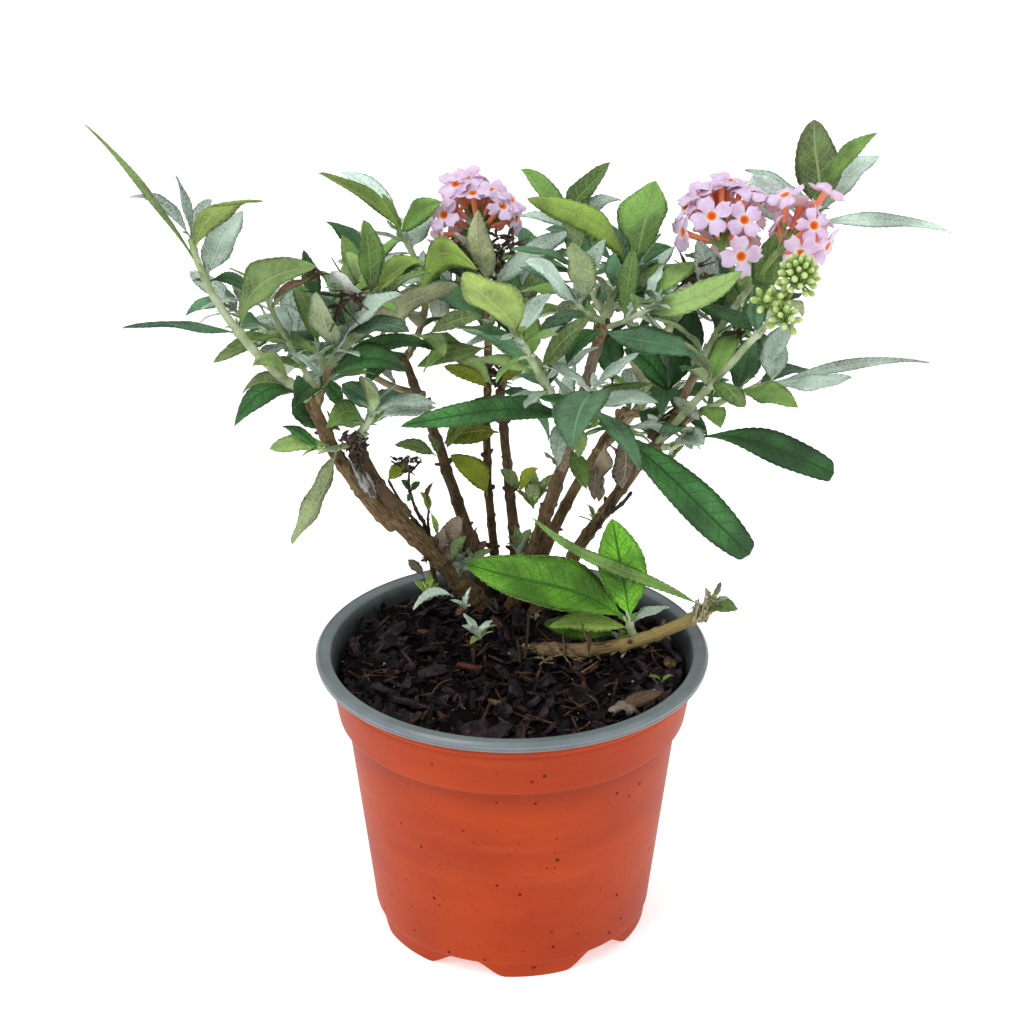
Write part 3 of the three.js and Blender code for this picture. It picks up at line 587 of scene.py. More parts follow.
def strewTree():
    g = Growth("strewnBark", {
        "Bed": "Geometry", "Shape": "Object", "Density": "Float", "Seed": "Int", "Smallest": "Float",
        "Largest": "Float", "Tilt": "Float", "Lift": "Float", "Finish": "Material"})
    pick = g.given.pick
    upward = g.part(g.node("GeometryNodeInputNormal"), "Z")
    height = g.part(g.node("GeometryNodeInputPosition"), "Z")
    level, high = [g.node("FunctionNodeCompare", {"operation": "GREATER_THAN"}, {"A": value, "B": least})
                   for value, least in ((upward, 0.3), (height, compost["strewnOver"]))]
    top = g.node("FunctionNodeBooleanMath", {"operation": "AND"}, {0: level, 1: high})
    spots = g.node("GeometryNodeDistributePointsOnFaces", None,
                   {"Mesh": pick("Bed"), "Selection": top, "Density": pick("Density"), "Seed": pick("Seed")},
                   "Points")
    shape = g.node("GeometryNodeObjectInfo", None, {"Object": pick("Shape")}, "Geometry")
    least, most = [g.node("ShaderNodeCombineXYZ", None, {"X": lean, "Y": lean, "Z": half})
                   for lean, half in ((0 - pick("Tilt"), -math.pi), (pick("Tilt"), math.pi))]
    turn = g.node("FunctionNodeRandomValue", {"data_type": "FLOAT_VECTOR"},
                  {"Min": least, "Max": most, "Seed": pick("Seed") + 1}, "Value")
    size = g.node("FunctionNodeRandomValue", {"data_type": "FLOAT"},
                  {"Min": pick("Smallest"), "Max": pick("Largest"), "Seed": pick("Seed") + 2}, "Value")
    laid = g.node("GeometryNodeInstanceOnPoints", None,
                  {"Points": spots, "Instance": shape, "Rotation": turn, "Scale": size}, "Instances")
    lift = g.node("ShaderNodeCombineXYZ", None, {"Z": pick("Lift")})
    return g.close(g.node("GeometryNodeTranslateInstances", None,
                          {"Instances": laid, "Translation": lift, "Local Space": False}))


def runTree(base, tree, values):  # the base's mesh as the tree grows it with these inputs
    step = base.modifiers.new(tree.name, "NODES")
    step.node_group = tree
    names = {item.name: item.identifier for item in tree.interface.items_tree if item.in_out == "INPUT"}
    for label, value in values.items():
        step[names[label]] = value
    return applied(base)


def chipFinish(name, dark, light, gloss):
    f = Finish(name)
    broad = f.grain(260, 3.0)
    fibre = f.grain((2600, 500, 900), 3.0)
    colour = f.blend(broad.step(0.35, 0.65), dark, light)
    colour = f.blend(fibre.step(0.5, 0.66) * 0.75, colour, shaded(dark, 0.5))
    return f.done(colour, gloss + fibre * 0.2, fibre * 1.2 + broad * 0.5, 0.9, specular=0.22)


# Shape seed, length, width, depth, bend, pieces per square metre, smallest, largest, tilt, lift,
# darkest and lightest colour, roughness
litter = {
    "barkChipsBlack": (3, 7.0, 3.6, 1.5, 0.03, 34000, 0.4, 1.25, 0.95, 0.5, (7, 5, 7), (30, 22, 27), 0.35),
    "barkSlabs": (37, 12.0, 7.0, 2.4, 0.04, 1300, 0.6, 1.15, 0.55, 1.5, (16, 11, 16), (58, 44, 52), 0.35),
    "barkChipsPurple": (5, 8.0, 3.8, 1.4, 0.0, 8600, 0.4, 1.2, 0.85, 0.9, (28, 19, 28), (74, 56, 68), 0.35),
    "barkChipsBrown": (8, 7.0, 3.0, 1.2, 0.0, 5600, 0.35, 1.1, 0.8, 1.0, (48, 31, 26), (98, 66, 52), 0.4),
    "barkChipsRed": (12, 8.0, 4.2, 1.5, 0.0, 480, 0.5, 1.1, 0.4, 1.4, (80, 42, 34), (120, 68, 54), 0.4),
    "barkChipsTan": (44, 9.0, 4.6, 1.5, 0.0, 240, 0.6, 1.15, 0.4, 1.8, (84, 60, 40), (144, 112, 76), 0.45),
    "splinters": (51, 8.5, 1.1, 0.8, 0.02, 12000, 0.4, 1.2, 0.6, 1.0, (40, 28, 24), (96, 70, 54), 0.45),
    "crumbs": (16, 2.2, 1.5, 1.2, 0.0, 110000, 0.35, 1.2, 1.2, 0.3, (8, 6, 7), (38, 28, 27), 0.45),
    "fibres": (21, 12.0, 0.42, 0.34, 0.14, 6000, 0.4, 1.2, 0.6, 1.4, (64, 46, 35), (120, 92, 68), 0.5),
    "straws": (25, 9.0, 0.7, 0.35, 0.04, 420, 0.4, 1.2, 0.3, 1.8, (116, 92, 68), (168, 142, 106), 0.55),
    "paleSpecks": (31, 0.7, 0.65, 0.55, 0.0, 5600, 0.4, 1.0, 0.5, 1.4, (160, 150, 110), (222, 216, 170), 0.6),
}


def keepInside(mesh, reach):  # chips at the pot's wall are pressed in
    for corner in mesh.vertices:
        r = math.hypot(corner.co.x, corner.co.y) / mm
        if r > reach:
            corner.co.x *= reach / r
            corner.co.y *= reach / r


def buildCompost():
    bed = buildBed()
    tree = strewTree()
    for number, (name, row) in enumerate(litter.items()):
        seed, length, width, depth, bend, density, smallest, largest, tilt, lift, dark, light, gloss = row
        shape = newObject(name + "Shape", chipMesh(name + "Shape", seed, length, width, depth, bend))
        ground = newObject(name + "Bed", bed.data.copy())
        mesh = runTree(ground, tree, {
            "Shape": shape, "Density": float(density), "Seed": seed + number, "Smallest": smallest,
            "Largest": largest, "Tilt": tilt, "Lift": lift * mm,
            "Finish": chipFinish(name, dark, light, gloss)})
        dropped(ground, shape)
        keepInside(mesh, compost["edge"] + 0.6)
        addPiece(name, mesh, "compost")


buildCompost()
print("compost ready")


# Limbs: foot, or the limb it stands on and how far beside that one's middle; tip, bow, radii at foot and tip
limbs = {
    "stem_left": ((-9.5, 38, 92.3), (-38, 17, 138), (4, 1.5, -3.5), (4.1, 3.3)),
    "bough_left_outer": (("stem_left", -2.6), (-64, 7, 184), (-1.6, -2, -1), (2.3, 1.8)),
    "bough_left_inner": (("stem_left", 2.2), (-51, 15, 166), (-1.9, 0.5, -0.9), (2.4, 2.1)),
    "stem_back_left": ((-9, 48, 92.3), (-36, 48, 182), (0.8, -1, 4), (2.3, 1.4)),
    "stem_back": ((-3.5, 53, 92.3), (-8, 52, 184), (-2.4, -2, -4), (1.6, 1.2)),
    "stem_back_right": ((2.5, 51.5, 92.3), (-4, 50, 169), (0.5, -2, -1.9), (2.1, 1.4)),
    "stem_centre": ((-0.5, 40, 92.3), (27, 0, 208), (1.9, -2, 1.9), (3.2, 2.1)),
    "stem_centre_right": ((5.5, 44.5, 92.3), (37, 38, 167), (-6, -1, -4), (2.6, 1.8)),
    "stem_right": ((7.5, 36, 92.3), (51, 2, 179), (-1.3, 2, -1.2), (2.8, 1.9)),
    "stem_lying": ((6, 8, 94.9), (64, 3, 111), (0, -4, -4), (2.5, 1.9)),
}
barkLooks = {
    "stem_back": "dark", "stem_back_left": "dark", "stem_back_right": "dark", "bough_left_inner": "dark",
    "stem_lying": "straw",
}
bark = {
    "sides": 26, "step": 0.8, "relief": 0.4, "around": 420, "along": 90, "knotPitch": 12, "knotSwell": 0.2,
    "knotWidth": 1.1, "flare": 0.4, "flareOver": 4.5, "wander": 0.45, "sunk": 2.5, "lap": 1.6, "past": 1.02,
    "scar": 1.9, "scarWidth": 0.85, "bareUpTo": 7, "greyFrom": 0.157,
}
barkTints = {  # fissures, middle and light, and the fresh end of a living stem
    "brown": ((50, 37, 25), (92, 73, 50), (130, 109, 78)),
    "grey": ((84, 70, 58), (128, 110, 92), (158, 142, 124)),
    "dark": ((40, 29, 20), (76, 58, 41), (110, 89, 63)),
    "straw": ((66, 50, 32), (116, 94, 64), (156, 134, 98), (178, 160, 96)),
}
slimmed = {"stem_centre": 0.82, "stem_centre_right": 0.85, "stem_right": 0.84, "bough_left_inner": 1.3,
           "bough_left_outer": 1.12, "stem_left": 0.9}


class Bow:  # a limb's or shoot's middle line
    def __init__(self, foot, tip, bow=(0, 0, 0)):
        self.foot = Vector(foot)
        self.tip = Vector(tip)
        self.middle = (self.foot + self.tip) / 2 + 2 * Vector(bow)
        self.length = sum((self.at(k / 12) - self.at(k / 12 + 1 / 12)).length for k in range(12))

    def at(self, t):
        return (1 - t) ** 2 * self.foot + 2 * t * (1 - t) * self.middle + t * t * self.tip

    def along(self, t):
        return ((1 - t) * (self.middle - self.foot) + t * (self.tip - self.middle)).normalized()


def limbTree():
    g = Growth("barkLimb", {"Path": "Geometry", "Sides": "Int", "Relief": "Float", "Around": "Float",
                            "Along": "Float", "Finish": "Material"})
    pick = g.given.pick
    line = g.node("GeometryNodeMeshToCurve", None, {"Mesh": pick("Path")})
    measured = g.store(line, "alongLimb", g.node("GeometryNodeSplineParameter", out="Length"))
    rim = g.node("GeometryNodeCurvePrimitiveCircle", None, {"Resolution": pick("Sides"), "Radius": 1.0})
    ring = g.store(rim, "roundPlace", g.node("GeometryNodeInputPosition"), "FLOAT_VECTOR")
    thick = g.attribute("thick")
    skin = g.node("GeometryNodeCurveToMesh", None,
                  {"Curve": measured, "Profile Curve": ring, "Scale": thick, "Fill Caps": True})
    around = g.attribute("roundPlace", "FLOAT_VECTOR")
    place = g.node("ShaderNodeCombineXYZ", None, {
        "X": g.part(around, "X") * thick, "Y": g.part(around, "Y") * thick, "Z": g.attribute("alongLimb")})
    marked = g.store(skin, "barkPlace", place, "FLOAT_VECTOR")
    stretch = g.node("ShaderNodeCombineXYZ", None,
                     {"X": pick("Around"), "Y": pick("Around"), "Z": pick("Along")})
    ridges = g.node("ShaderNodeTexNoise", None,
                    {"Vector": g.stretch(place, stretch), "Scale": 1.0, "Detail": 3.0, "Roughness": 0.6})
    push = g.node("ShaderNodeVectorMath", {"operation": "SCALE"},
                  {0: g.node("GeometryNodeInputNormal"), "Scale": (ridges - 0.5) * 2.0 * pick("Relief")})
    rough = g.node("GeometryNodeSetPosition", None, {"Geometry": marked, "Offset": push})
    return g.close(g.node("GeometryNodeSetShadeSmooth", None, {"Geometry": rough}))


def pathMesh(name, paths):  # each path is a list of (place, radius) in millimetres
    mesh = bpy.data.meshes.new(name)
    points = [place * mm for path in paths for place, _ in path]
    edges = []
    first = 0
    for path in paths:
        edges.extend((first + k, first + k + 1) for k in range(len(path) - 1))
        first += len(path)
    mesh.from_pydata(points, edges, [])
    thick = mesh.attributes.new("thick", "FLOAT", "POINT")
    thick.data.foreach_set("value", [radius * mm for path in paths for _, radius in path])
    return mesh


def grownLimb(name, paths, finish, sides, relief, around, along):
    base = newObject(name + "Path", pathMesh(name + "Path", paths))
    mesh = runTree(base, woodTree, {"Sides": sides, "Relief": relief * mm, "Around": float(around),
                                    "Along": float(along), "Finish": finish})
    dropped(base)
    return mesh


scarPaths = []


def growScars(curve, at, radius, rnd, turn):  # the two stubs left by a fallen pair of leaves
    along = curve.along(at)
    across = Vector((0, 1, 0)).cross(along).normalized()
    for half in (0, 1):
        outward = turned(across, along, turn + 180 * half + rnd.uniform(-20, 20))
        long, wide = bark["scar"] * rnd.uniform(0.5, 1.2), bark["scarWidth"] * rnd.uniform(0.7, 1.2)
        foot = curve.at(at) + outward * radius * 0.6
        tip = curve.at(at) + outward * (radius + long * 0.75) + along * long * 0.6
        end = tip + (tip - foot).normalized() * 0.2
        scarPaths.append([(foot, wide * 1.2), (lerp(foot, tip, 0.5), wide),
                          (lerp(foot, tip, 0.85), wide * 0.85), (tip, wide * 0.55), (end, wide * 0.2)])


def limbPath(curve, radius, start, end, footed, seed):
    rnd = random.Random(seed)
    pitch = bark["knotPitch"]
    count = max(6, int(curve.length * (end - start) / bark["step"]))
    lift = rnd.uniform(0, pitch)
    path = []
    for k in range(count + 1):
        t = start + (end - start) * k / count
        run = (t - start) * curve.length
        swell = math.exp(-(((run + lift) % pitch - pitch / 2) / bark["knotWidth"]) ** 2)
        r = lerp(*radius, max(0, t)) * (1 + bark["knotSwell"] * swell)
        if footed:
            r *= 1 + bark["flare"] * math.exp(-run / bark["flareOver"])
        wander = drift(run * 0.09, seed * 7.7, 3.1, 0) * bark["wander"]
        path.append((curve.at(t) + wander * ease(0, 8, run), r))
    knot = pitch / 2 - lift + (pitch if lift > pitch / 2 else 0)
    turn = rnd.uniform(0, 90)
    while knot < curve.length * 0.97:
        if knot > bark["bareUpTo"]:
            growScars(curve, knot / curve.length, lerp(*radius, knot / curve.length), rnd, turn)
        knot += pitch
        turn += 90
    return path


def barkFinish(name, dark, middle, light, fresher=None):
    f = Finish(name)
    place = f.barkPlace()
    fissures = f.grain((900, 900, 130), 4.0, place, 0.6)
    streaks = f.grain((3000, 3000, 330), 3.0, place)
    cloud = f.grain(120, 3.0)
    peel = f.grain((420, 420, 90), 2.0, place)
    colour = f.blend(cloud.step(0.35, 0.7), middle, light)
    colour = f.blend((1 - fissures.step(0.36, 0.48)) * 0.72, colour, dark)
    colour = f.blend(streaks.step(0.54, 0.68) * 0.75, colour, shaded(light, 1.3))
    colour = f.blend(peel.step(0.62, 0.7) * 0.45, colour, light)
    if fresher:  # the living end of the lying stem
        outer = (f.part(f.place, "X") + (cloud - 0.5) * 0.02).step(0.026, 0.04)
        colour = f.blend(outer * 0.62, colour, fresher)
    return f.done(colour, 0.72 + streaks * 0.2, fissures * 0.9 + streaks * 0.35 + peel * 0.4, 0.8,
                  specular=0.25)


limbCurves = {}
for name, (foot, tip, bow, radius) in limbs.items():
    if foot[0] in limbs:
        stem = limbCurves[foot[0]]
        across = Vector((0, 1, 0)).cross(stem.along(1)).normalized()
        foot = stem.tip + across * foot[1] + stem.along(1) * 0.3
    limbCurves[name] = Bow(foot, tip, bow)

woodTree = limbTree()


def buildLimbs():
    looks = {look: barkFinish(look + "Bark", *tints) for look, tints in barkTints.items()}
    for number, (name, (foot, _, _, radius)) in enumerate(limbs.items()):
        curve = limbCurves[name]
        footed = foot[0] not in limbs
        start = -(bark["sunk"] if footed else bark["lap"]) / curve.length
        radius = [r * slimmed.get(name, 1) for r in radius]
        path = limbPath(curve, radius, start, bark["past"], footed and name != "stem_lying", number + 1)
        if name == "stem_lying":  # torn to a point
            path = [(spot, r * (0.3 + 0.7 * ease(0, 9, k * bark["step"])))
                    for k, (spot, r) in enumerate(path)]
        last, width = path[-1]
        for out, share in ((0.35, 0.72), (0.5, 0.25)):  # rounded off
            path.append((last + curve.along(1) * width * out, width * share))
        mesh = grownLimb(name, [path], looks[barkLooks.get(name, "brown")], bark["sides"],
                         bark["relief"] * min(1, width / 2), bark["around"], bark["along"])
        if name == "stem_centre":
            mesh.materials.append(looks["grey"])
            for face in mesh.polygons:
                ragged = noise.noise(face.center * 600) * 0.008
                face.material_index = int(face.center.z > bark["greyFrom"] + ragged)
        addPiece(name + "_bark", mesh, "bark", name)
    scars = grownLimb("leafScars", scarPaths, looks["dark"], 8, 0.12, around=700, along=300)
    addPiece("leafScars", scars, "bark")


buildLimbs()
print("limbs ready")


# Foliage: each mass has one main shoot from a limb, side twigs, and leaves that leave them at nodes.
def pairs(first, step, length, spread=(62, 40)):  # opposite leaves, with lengths and angles at foot and tip
    return {"from": first, "step": step, "length": length, "spread": spread}


def twig(at, tip, pairs=None, posed=()):
    return {"at": at, "tip": tip, "pairs": pairs, "posed": posed}


# Main shoot: its limb, where it leaves it, tip, bow, radii at foot and tip.
# Posed leaves: at, heading, rise, length, width, arch, roll, kind.
masses = {
    "foliage_far_left": {
        "shoot": ("bough_left_outer", 1, (-98.3, 2, 239.2), (-5.7, -5.2, 1.1), (1.7, 1)),
        "posed": [
            (0.78, 163, 51, 58, 5, 0.05, 9, "olive"), (0.77, 62, 36, 27, 12, 0.1, 3, "silver"),
            (0.75, 57, -36, 35, 8, 0.16, 48, "dark"), (0.94, 328, 36, 34, 12, 0.2, -21, "lime"),
            (1, 126, 68, 20, 5, 0.1, 27, "silver"), (1, 139, 16, 29, 6, 0.15, 0, "silver"),
            (1, 67, 35, 16, 6, 0.05, -9, "silver"), (0.44, 194, 8, 36, 6, 0.04, -9, "teal"),
            (0.44, 337, 42, 38, 14, 0.2, 57, "olive"), (0.45, 73, -20, 24, 7, 0.15, 36, "teal"),
            (0.03, 214, -10, 26, 9, 0.29, -21, "dark"), (0.06, 150, -12, 23, 8, 0.14, -27, "olive"),
            (0.12, 235, 34, 20, 6, 0.2, -54, "olive"),
        ],
    },
    "foliage_left_crown": {
        "shoot": ("bough_left_outer", 0.93, (-44, 14, 216), (-2, -1, 1.5), (1.5, 0.9)),
        "posed": [
            (0.4, 324, 45, 41, 11, 0.1, 39, "silver"), (0.55, 36, 14, 47, 10, 0.05, -78, "olive"),
            (0.52, 253, 56, 30, 11, -0.05, -9, "teal"), (1, 121, 79, 25, 9, 0.05, 0, "green"),
            (1, 46, 15, 24, 9, 0.16, 15, "lime"), (0.95, 53, 8, 29, 9, 0.18, 6, "dark"),
            (0.62, 317, 18, 31, 10, 0.14, 21, "teal"), (0.19, 318, 22, 41, 12, 0.14, 30, "dark"),
            (0.36, 28, -1, 38, 8, 0.12, 18, "dark"), (0.1, 257, 15, 25, 9, 0.2, -21, "dark"),
            (0.77, 257, 52, 29, 12, 0.1, -24, "silver"), (0.8, 62, 39, 28, 9, 0.1, -21, "green"),
        ],
        "twigs": [
            twig(0.14, (-78, 16, 216), posed=[
                (0.75, 180, -14, 16, 5, 0.2, 0, "dead"), (0.9, 30, 20, 18, 6, 0.2, 0, "dead"),
            ]),
            twig(0.3, (-64, 26, 202), pairs(0.4, 0.3, (25, 18), (60, 35))),
            twig(0.5, (-42, 38, 206), pairs(0.4, 0.3, (26, 20), (60, 35))),
        ],
    },
    "foliage_left_low": {
        "shoot": ("bough_left_inner", 1, (-44, 6, 181), (-0.2, -0.8, -0.4), (1.6, 1)),
        "posed": [
            (1, 326, 18, 26, 9, 0.14, 15, "silver"), (0.8, 271, 51, 25, 9, 0.1, -45, "green"),
            (0.58, 248, 20, 29, 8, 0.18, -51, "green"), (1, 112, 47, 12, 5, 0.1, 0, "silver"),
            (1, 10, 45, 12, 5, 0.1, 0, "silver"), (0.4, 58, 8, 29, 9, 0.12, 6, "green"),
        ],
        "twigs": [
            twig(0.15, (-61, -2, 171), posed=[
                (0.54, 225, -53, 34, 9, -0.05, 90, "green"), (0.66, 207, 11, 22, 8, 0.14, -24, "olive"),
                (1, 128, 16, 14, 7, 0.1, -6, "dark"),
            ]),
        ],
    },
    "foliage_back_left": {
        "shoot": ("stem_back_left", 1, (-38, 64, 222), (8, 1, 0.4), (1.2, 0.8)),
        "posed": [
            (0.89, 208, 43, 43, 8, 0.09, -33, "lime"), (1, 146, 36, 29, 9, 0.16, -6, "silver"),
            (1, 158, 66, 14, 6, 0.1, 0, "green"), (1, 315, 80, 17, 6, 0.05, 0, "green"),
            (0.98, 328, 40, 22, 9, 0.1, 63, "green"), (0.85, 64, 32, 19, 10, 0.1, -3, "silver"),
            (0.35, 299, 35, 38, 12, 0.35, 75, "lime"), (0.05, 291, 18, 38, 9, 0.16, 0, "olive"),
            (0.05, 236, -8, 24, 8, 0.14, -9, "dark"), (0.1, 26, -14, 22, 8, 0.14, 33, "green"),
            (0.4, 118, -12, 26, 9, 0.12, -30, "teal"),
        ],
        "twigs": [
            twig(0.35, (-58, 76, 194), pairs(0.35, 0.32, (30, 22))),
            twig(0.5, (-14, 84, 200), pairs(0.35, 0.32, (30, 22))),
        ],
    },
    "flower_spike_centre": {
        "shoot": ("stem_back", 1, (-12, 58, 223), (0.9, 0.2, 0.1), (1.1, 0.9)),
        "posed": [
            (0.52, 265, 60, 39, 9, 0, -9, "olive"), (0.5, 228, 60, 28, 9, 0.1, 6, "silver"),
            (0.54, 316, 36, 47, 9, 0.05, 63, "silver"), (0.42, 116, 8, 37, 11, 0.16, 0, "teal"),
            (0.02, 196, -9, 25, 9, 0.08, -24, "olive"), (0.06, 329, -18, 25, 8, 0.14, 12, "olive"),
            (0.12, 90, 0, 30, 9, 0.16, 0, "teal"), (0.2, 230, 29, 36, 10, 0.14, -51, "teal"),
            (0.22, 24, 10, 22, 9, 0.14, 24, "green"),
        ],
    },
    "foliage_mid_back": {
        "shoot": ("stem_back_right", 1, (3, 70, 194), (0.3, 1.6, -1), (1.3, 0.9)),
        "posed": [
            (0.5, 339, 64, 27, 9, 0.1, 0, "teal"), (0.5, 232, 32, 26, 9, 0.12, -66, "green"),
            (0.9, 47, 39, 24, 9, 0.1, 0, "green"), (0.9, 107, 25, 28, 9, 0.12, 0, "dark"),
            (0.12, 16, -54, 28, 8, 0.12, 42, "teal"), (0.02, 202, -41, 26, 8, 0.12, -27, "lime"),
        ],
        "twigs": [
            twig(0.4, (10, 100, 200), pairs(0.4, 0.3, (30, 22))),
            twig(0.6, (-22, 94, 194), pairs(0.4, 0.3, (30, 22))),
        ],
    },
    "foliage_front_shoot": {
        "shoot": ("stem_centre", 0.66, (2, -30, 219), (0.2, 0.4, 0.3), (1.6, 1.1)),
        "posed": [
            (1, 225, 49, 34, 15, 0.05, 36, "lime"), (0.62, 315, 49, 31, 9, 0.08, 69, "olive"),
            (0.6, 157, 24, 29, 9, 0.14, 0, "teal"), (0.45, 120, -10, 24, 9, 0.14, 0, "teal"),
            (0.98, 50, 36, 18, 8, 0.1, 0, "silver"), (0.96, 150, 40, 20, 8, 0.1, 0, "silver"),
            (0.55, 20, 28, 20, 8, 0.1, 0, "silver"),
        ],
    },
    "foliage_centre_front": {
        "shoot": ("stem_centre", 0.58, (25, -20, 198), (0, -1, -2), (1.5, 1)),
        "posed": [
            (0.98, 260, -1, 43, 17, 0.11, 9, "teal"), (0.62, 197, 6, 59, 9.5, 0.08, -30, "dark"),
            (0.72, 329, -30, 67, 13, 0.05, 36, "dark"), (0.8, 302, -19, 30, 9, 0.14, -12, "teal"),
            (0.7, 20, 20, 24, 9, 0.12, 0, "green"), (0.95, 170, 30, 18, 7, 0.1, 0, "silver"),
            (1, 10, 40, 18, 7, 0.1, 0, "silver"),
        ],
    },
    "foliage_centre": {
        "shoot": ("stem_centre", 1, (32, 6, 222), (0, 0, 0), (2, 1.1)),
        "posed": [
            (0.9, 78, 14, 26, 9, 0.1, 0, "teal"), (0.12, 326, -1, 34, 10, 0.03, 42, "teal"),
            (0.6, 20, 24, 28, 10, 0.1, 0, "green"), (0.1, 245, -4, 26, 8, 0.12, 0, "dark"),
            (0.3, 150, 10, 30, 9, 0.14, 0, "green"),
        ],
        "twigs": [
            twig(0.4, (17, 40, 233), posed=[
                (1, 160, 47, 22, 8, 0.08, -36, "green"), (1, 351, 55, 25, 8, 0.06, 42, "green"),
                (0.9, 53, 8, 30, 6, 0.14, 24, "silver"), (0.85, 120, 30, 26, 9, 0.12, 0, "teal"),
                (0.9, 69, 30, 26, 9, 0.1, 0, "green"), (0.5, 100, 20, 26, 9, 0.12, 0, "dark"),
                (0.5, 190, 24, 26, 8, 0.12, 0, "teal"),
            ]),
            twig(0.9, (39, 12, 227), posed=[
                (1, 64, 60, 28, 17, 0.05, -6, "green"), (0.71, 197, 40, 44, 10, 0.17, -51, "lime"),
                (1, 120, 54, 19, 6, 0.1, 18, "silver"),
            ]),
            twig(0.2, (44, -8, 222), posed=[
                (0.68, 345, 28, 36, 9, -0.03, 48, "olive"), (1, 256, 43, 10, 6, 0.1, -21, "silver"),
                (0.9, 239, 14, 15, 6, 0.1, 0, "silver"), (0.9, 60, 15, 26, 9, 0.12, 0, "green"),
            ]),
            twig(0.3, (20, -9, 222), posed=[
                (1, 233, 38, 34, 9, 0.06, -54, "silver"), (0.9, 247, 72, 24, 11, 0.05, -15, "green"),
                (0.9, 348, 65, 23, 7, 0.1, 51, "silver"), (0.5, 157, 29, 27, 7, 0.12, 0, "teal"),
                (0.6, 240, 0, 24, 8, 0.12, 0, "teal"),
            ]),
            twig(0.7, (44, 42, 208), pairs(0.35, 0.32, (30, 24))),
        ],
    },
    "foliage_right_mid": {
        "shoot": ("stem_centre_right", 1, (51, 20, 182), (3, 0, -2.7), (1.4, 0.9)),
        "posed": [
            (0.95, 225, 44, 31, 10, 0.08, -75, "dark"), (1, 16, 73, 30, 13, -0.06, 33, "dark"),
            (0.8, 282, 8, 36, 9, 0.14, 0, "teal"), (0.3, 185, 46, 20, 8, 0.1, 0, "green"),
            (0.5, 264, 2, 28, 9, 0.14, 0, "dark"), (0.95, 96, 14, 30, 10, 0.14, 0, "teal"),
            (0.3, 120, 0, 28, 10, 0.14, 0, "olive"), (0.6, 70, 40, 24, 9, 0.1, 0, "green"),
        ],
    },
    "flower_heads_right": {
        "shoot": ("stem_right", 1, (76, 14, 221), (0, 6, 1), (1.5, 1)),
        "posed": [
            (0.55, 84, -3, 26, 9, 0.12, 0, "teal"), (0.7, 68, 28, 29, 9, 0.1, 0, "green"),
            (0.55, 309, 26, 28, 9, 0.1, 0, "teal"), (0.85, 115, 6, 36, 10, 0.16, 0, "dark"),
            (0.3, 30, 24, 26, 9, 0.12, 0, "green"), (0.4, 200, 40, 24, 9, 0.1, 0, "dark"),
        ],
        "twigs": [
            twig(0.25, (99, 44, 235), posed=[
                (1, 117, 81, 30, 16, 0.04, -9, "olive"), (0.95, 318, 56, 41, 8, 0.1, 60, "green"),
                (0.93, 42, 27, 38, 10, 0.1, 15, "silver"), (0.95, 341, 2, 45, 8, 0.04, 21, "silver"),
                (0.92, 130, 25, 32, 11, 0.1, 3, "silver"), (0.5, 118, 3, 30, 10, 0.14, 0, "teal"),
                (0.5, 46, -20, 28, 10, 0.14, 0, "green"), (0.7, 70, 0, 30, 10, 0.14, 0, "teal"),
                (0.3, 60, 10, 30, 10, 0.14, 0, "green"), (0.35, 140, 30, 28, 10, 0.12, 0, "dark"),
            ]),
        ],
    },
    "foliage_bud_shoot": {
        "shoot": ("stem_right", 0.87, (83.4, -17, 225.9), (-0.8, -7.5, 3), (1.3, 1)),
        "posed": [
            (0.78, 142, 15, 23, 8, 0.1, -15, "dark"), (0.78, 97, 66, 15, 6, 0.1, 0, "teal"),
            (0.42, 245, 32, 26, 8, 0.12, 0, "dark"), (0.45, 293, 2, 22, 8, 0.14, 0, "green"),
            (0.45, 200, 44, 22, 7, 0.1, 0, "teal"), (0.45, 60, 30, 22, 8, 0.12, 0, "green"),
        ],
    },
    "foliage_right_long": {
        "shoot": ("stem_right", 0.9, (81.1, -5, 194.8), (0.9, 0.8, 2.9), (1.3, 0.9)),
        "posed": [
            (1, 0, 8, 49, 6.5, 0.05, 12, "silver"), (1, 323, 17, 29, 7, -0.03, 24, "silver"),
            (0.72, 295, 12, 34, 8.5, 0.07, 30, "green"), (1, 100, 42, 18, 7, 0.08, 18, "teal"),
            (1, 50, 55, 16, 9, 0.08, -3, "silver"), (0.65, 62, 34, 25, 10, 0.1, 0, "teal"),
            (0.45, 100, 20, 24, 9, 0.12, 0, "dark"), (0.4, 280, 6, 20, 8, 0.14, 0, "green"),
            (0.85, 40, -4, 28, 9, 0.12, 0, "teal"),
        ],
    },
    "foliage_right_low": {
        "shoot": ("stem_right", 0.88, (55, -12, 179), (0, 0, -1), (1.3, 0.9)),
        "posed": [
            (0.95, 350, -10, 47, 10.5, 0.12, 54, "dark"), (0.6, 289, 22, 25, 8, 0.14, 33, "silver"),
            (1, 249, 22, 29, 9, 0.12, 0, "teal"), (0.9, 200, 20, 20, 8, 0.12, 0, "silver"),
        ],
    },
    "foliage_lying": {
        "shoot": ("stem_lying", 0.62, (39, 1, 108), (-1, 0, 0), (1.4, 1.1)),
        "posed": [
            (0.9, 173, 19, 58, 18, 0.07, -45, "fresh"), (0.95, 114, 65, 35, 16, 0.03, -15, "fresh"),
            (0.6, 180, 2, 27, 9, 0.1, -15, "lime"), (0.8, 30, 10, 16, 6, 0.12, 0, "silver"),
        ],
    },
    "foliage_lying_tip": {
        "shoot": ("stem_lying", 1, (67, 3, 115), (0, 0, 0), (1.6, 1.2)),
        "posed": [
            (0.1, 171, 27, 67, 5.2, 0, -32, "green"), (0.8, 8, -21, 9, 5, 0.1, 30, "green"),
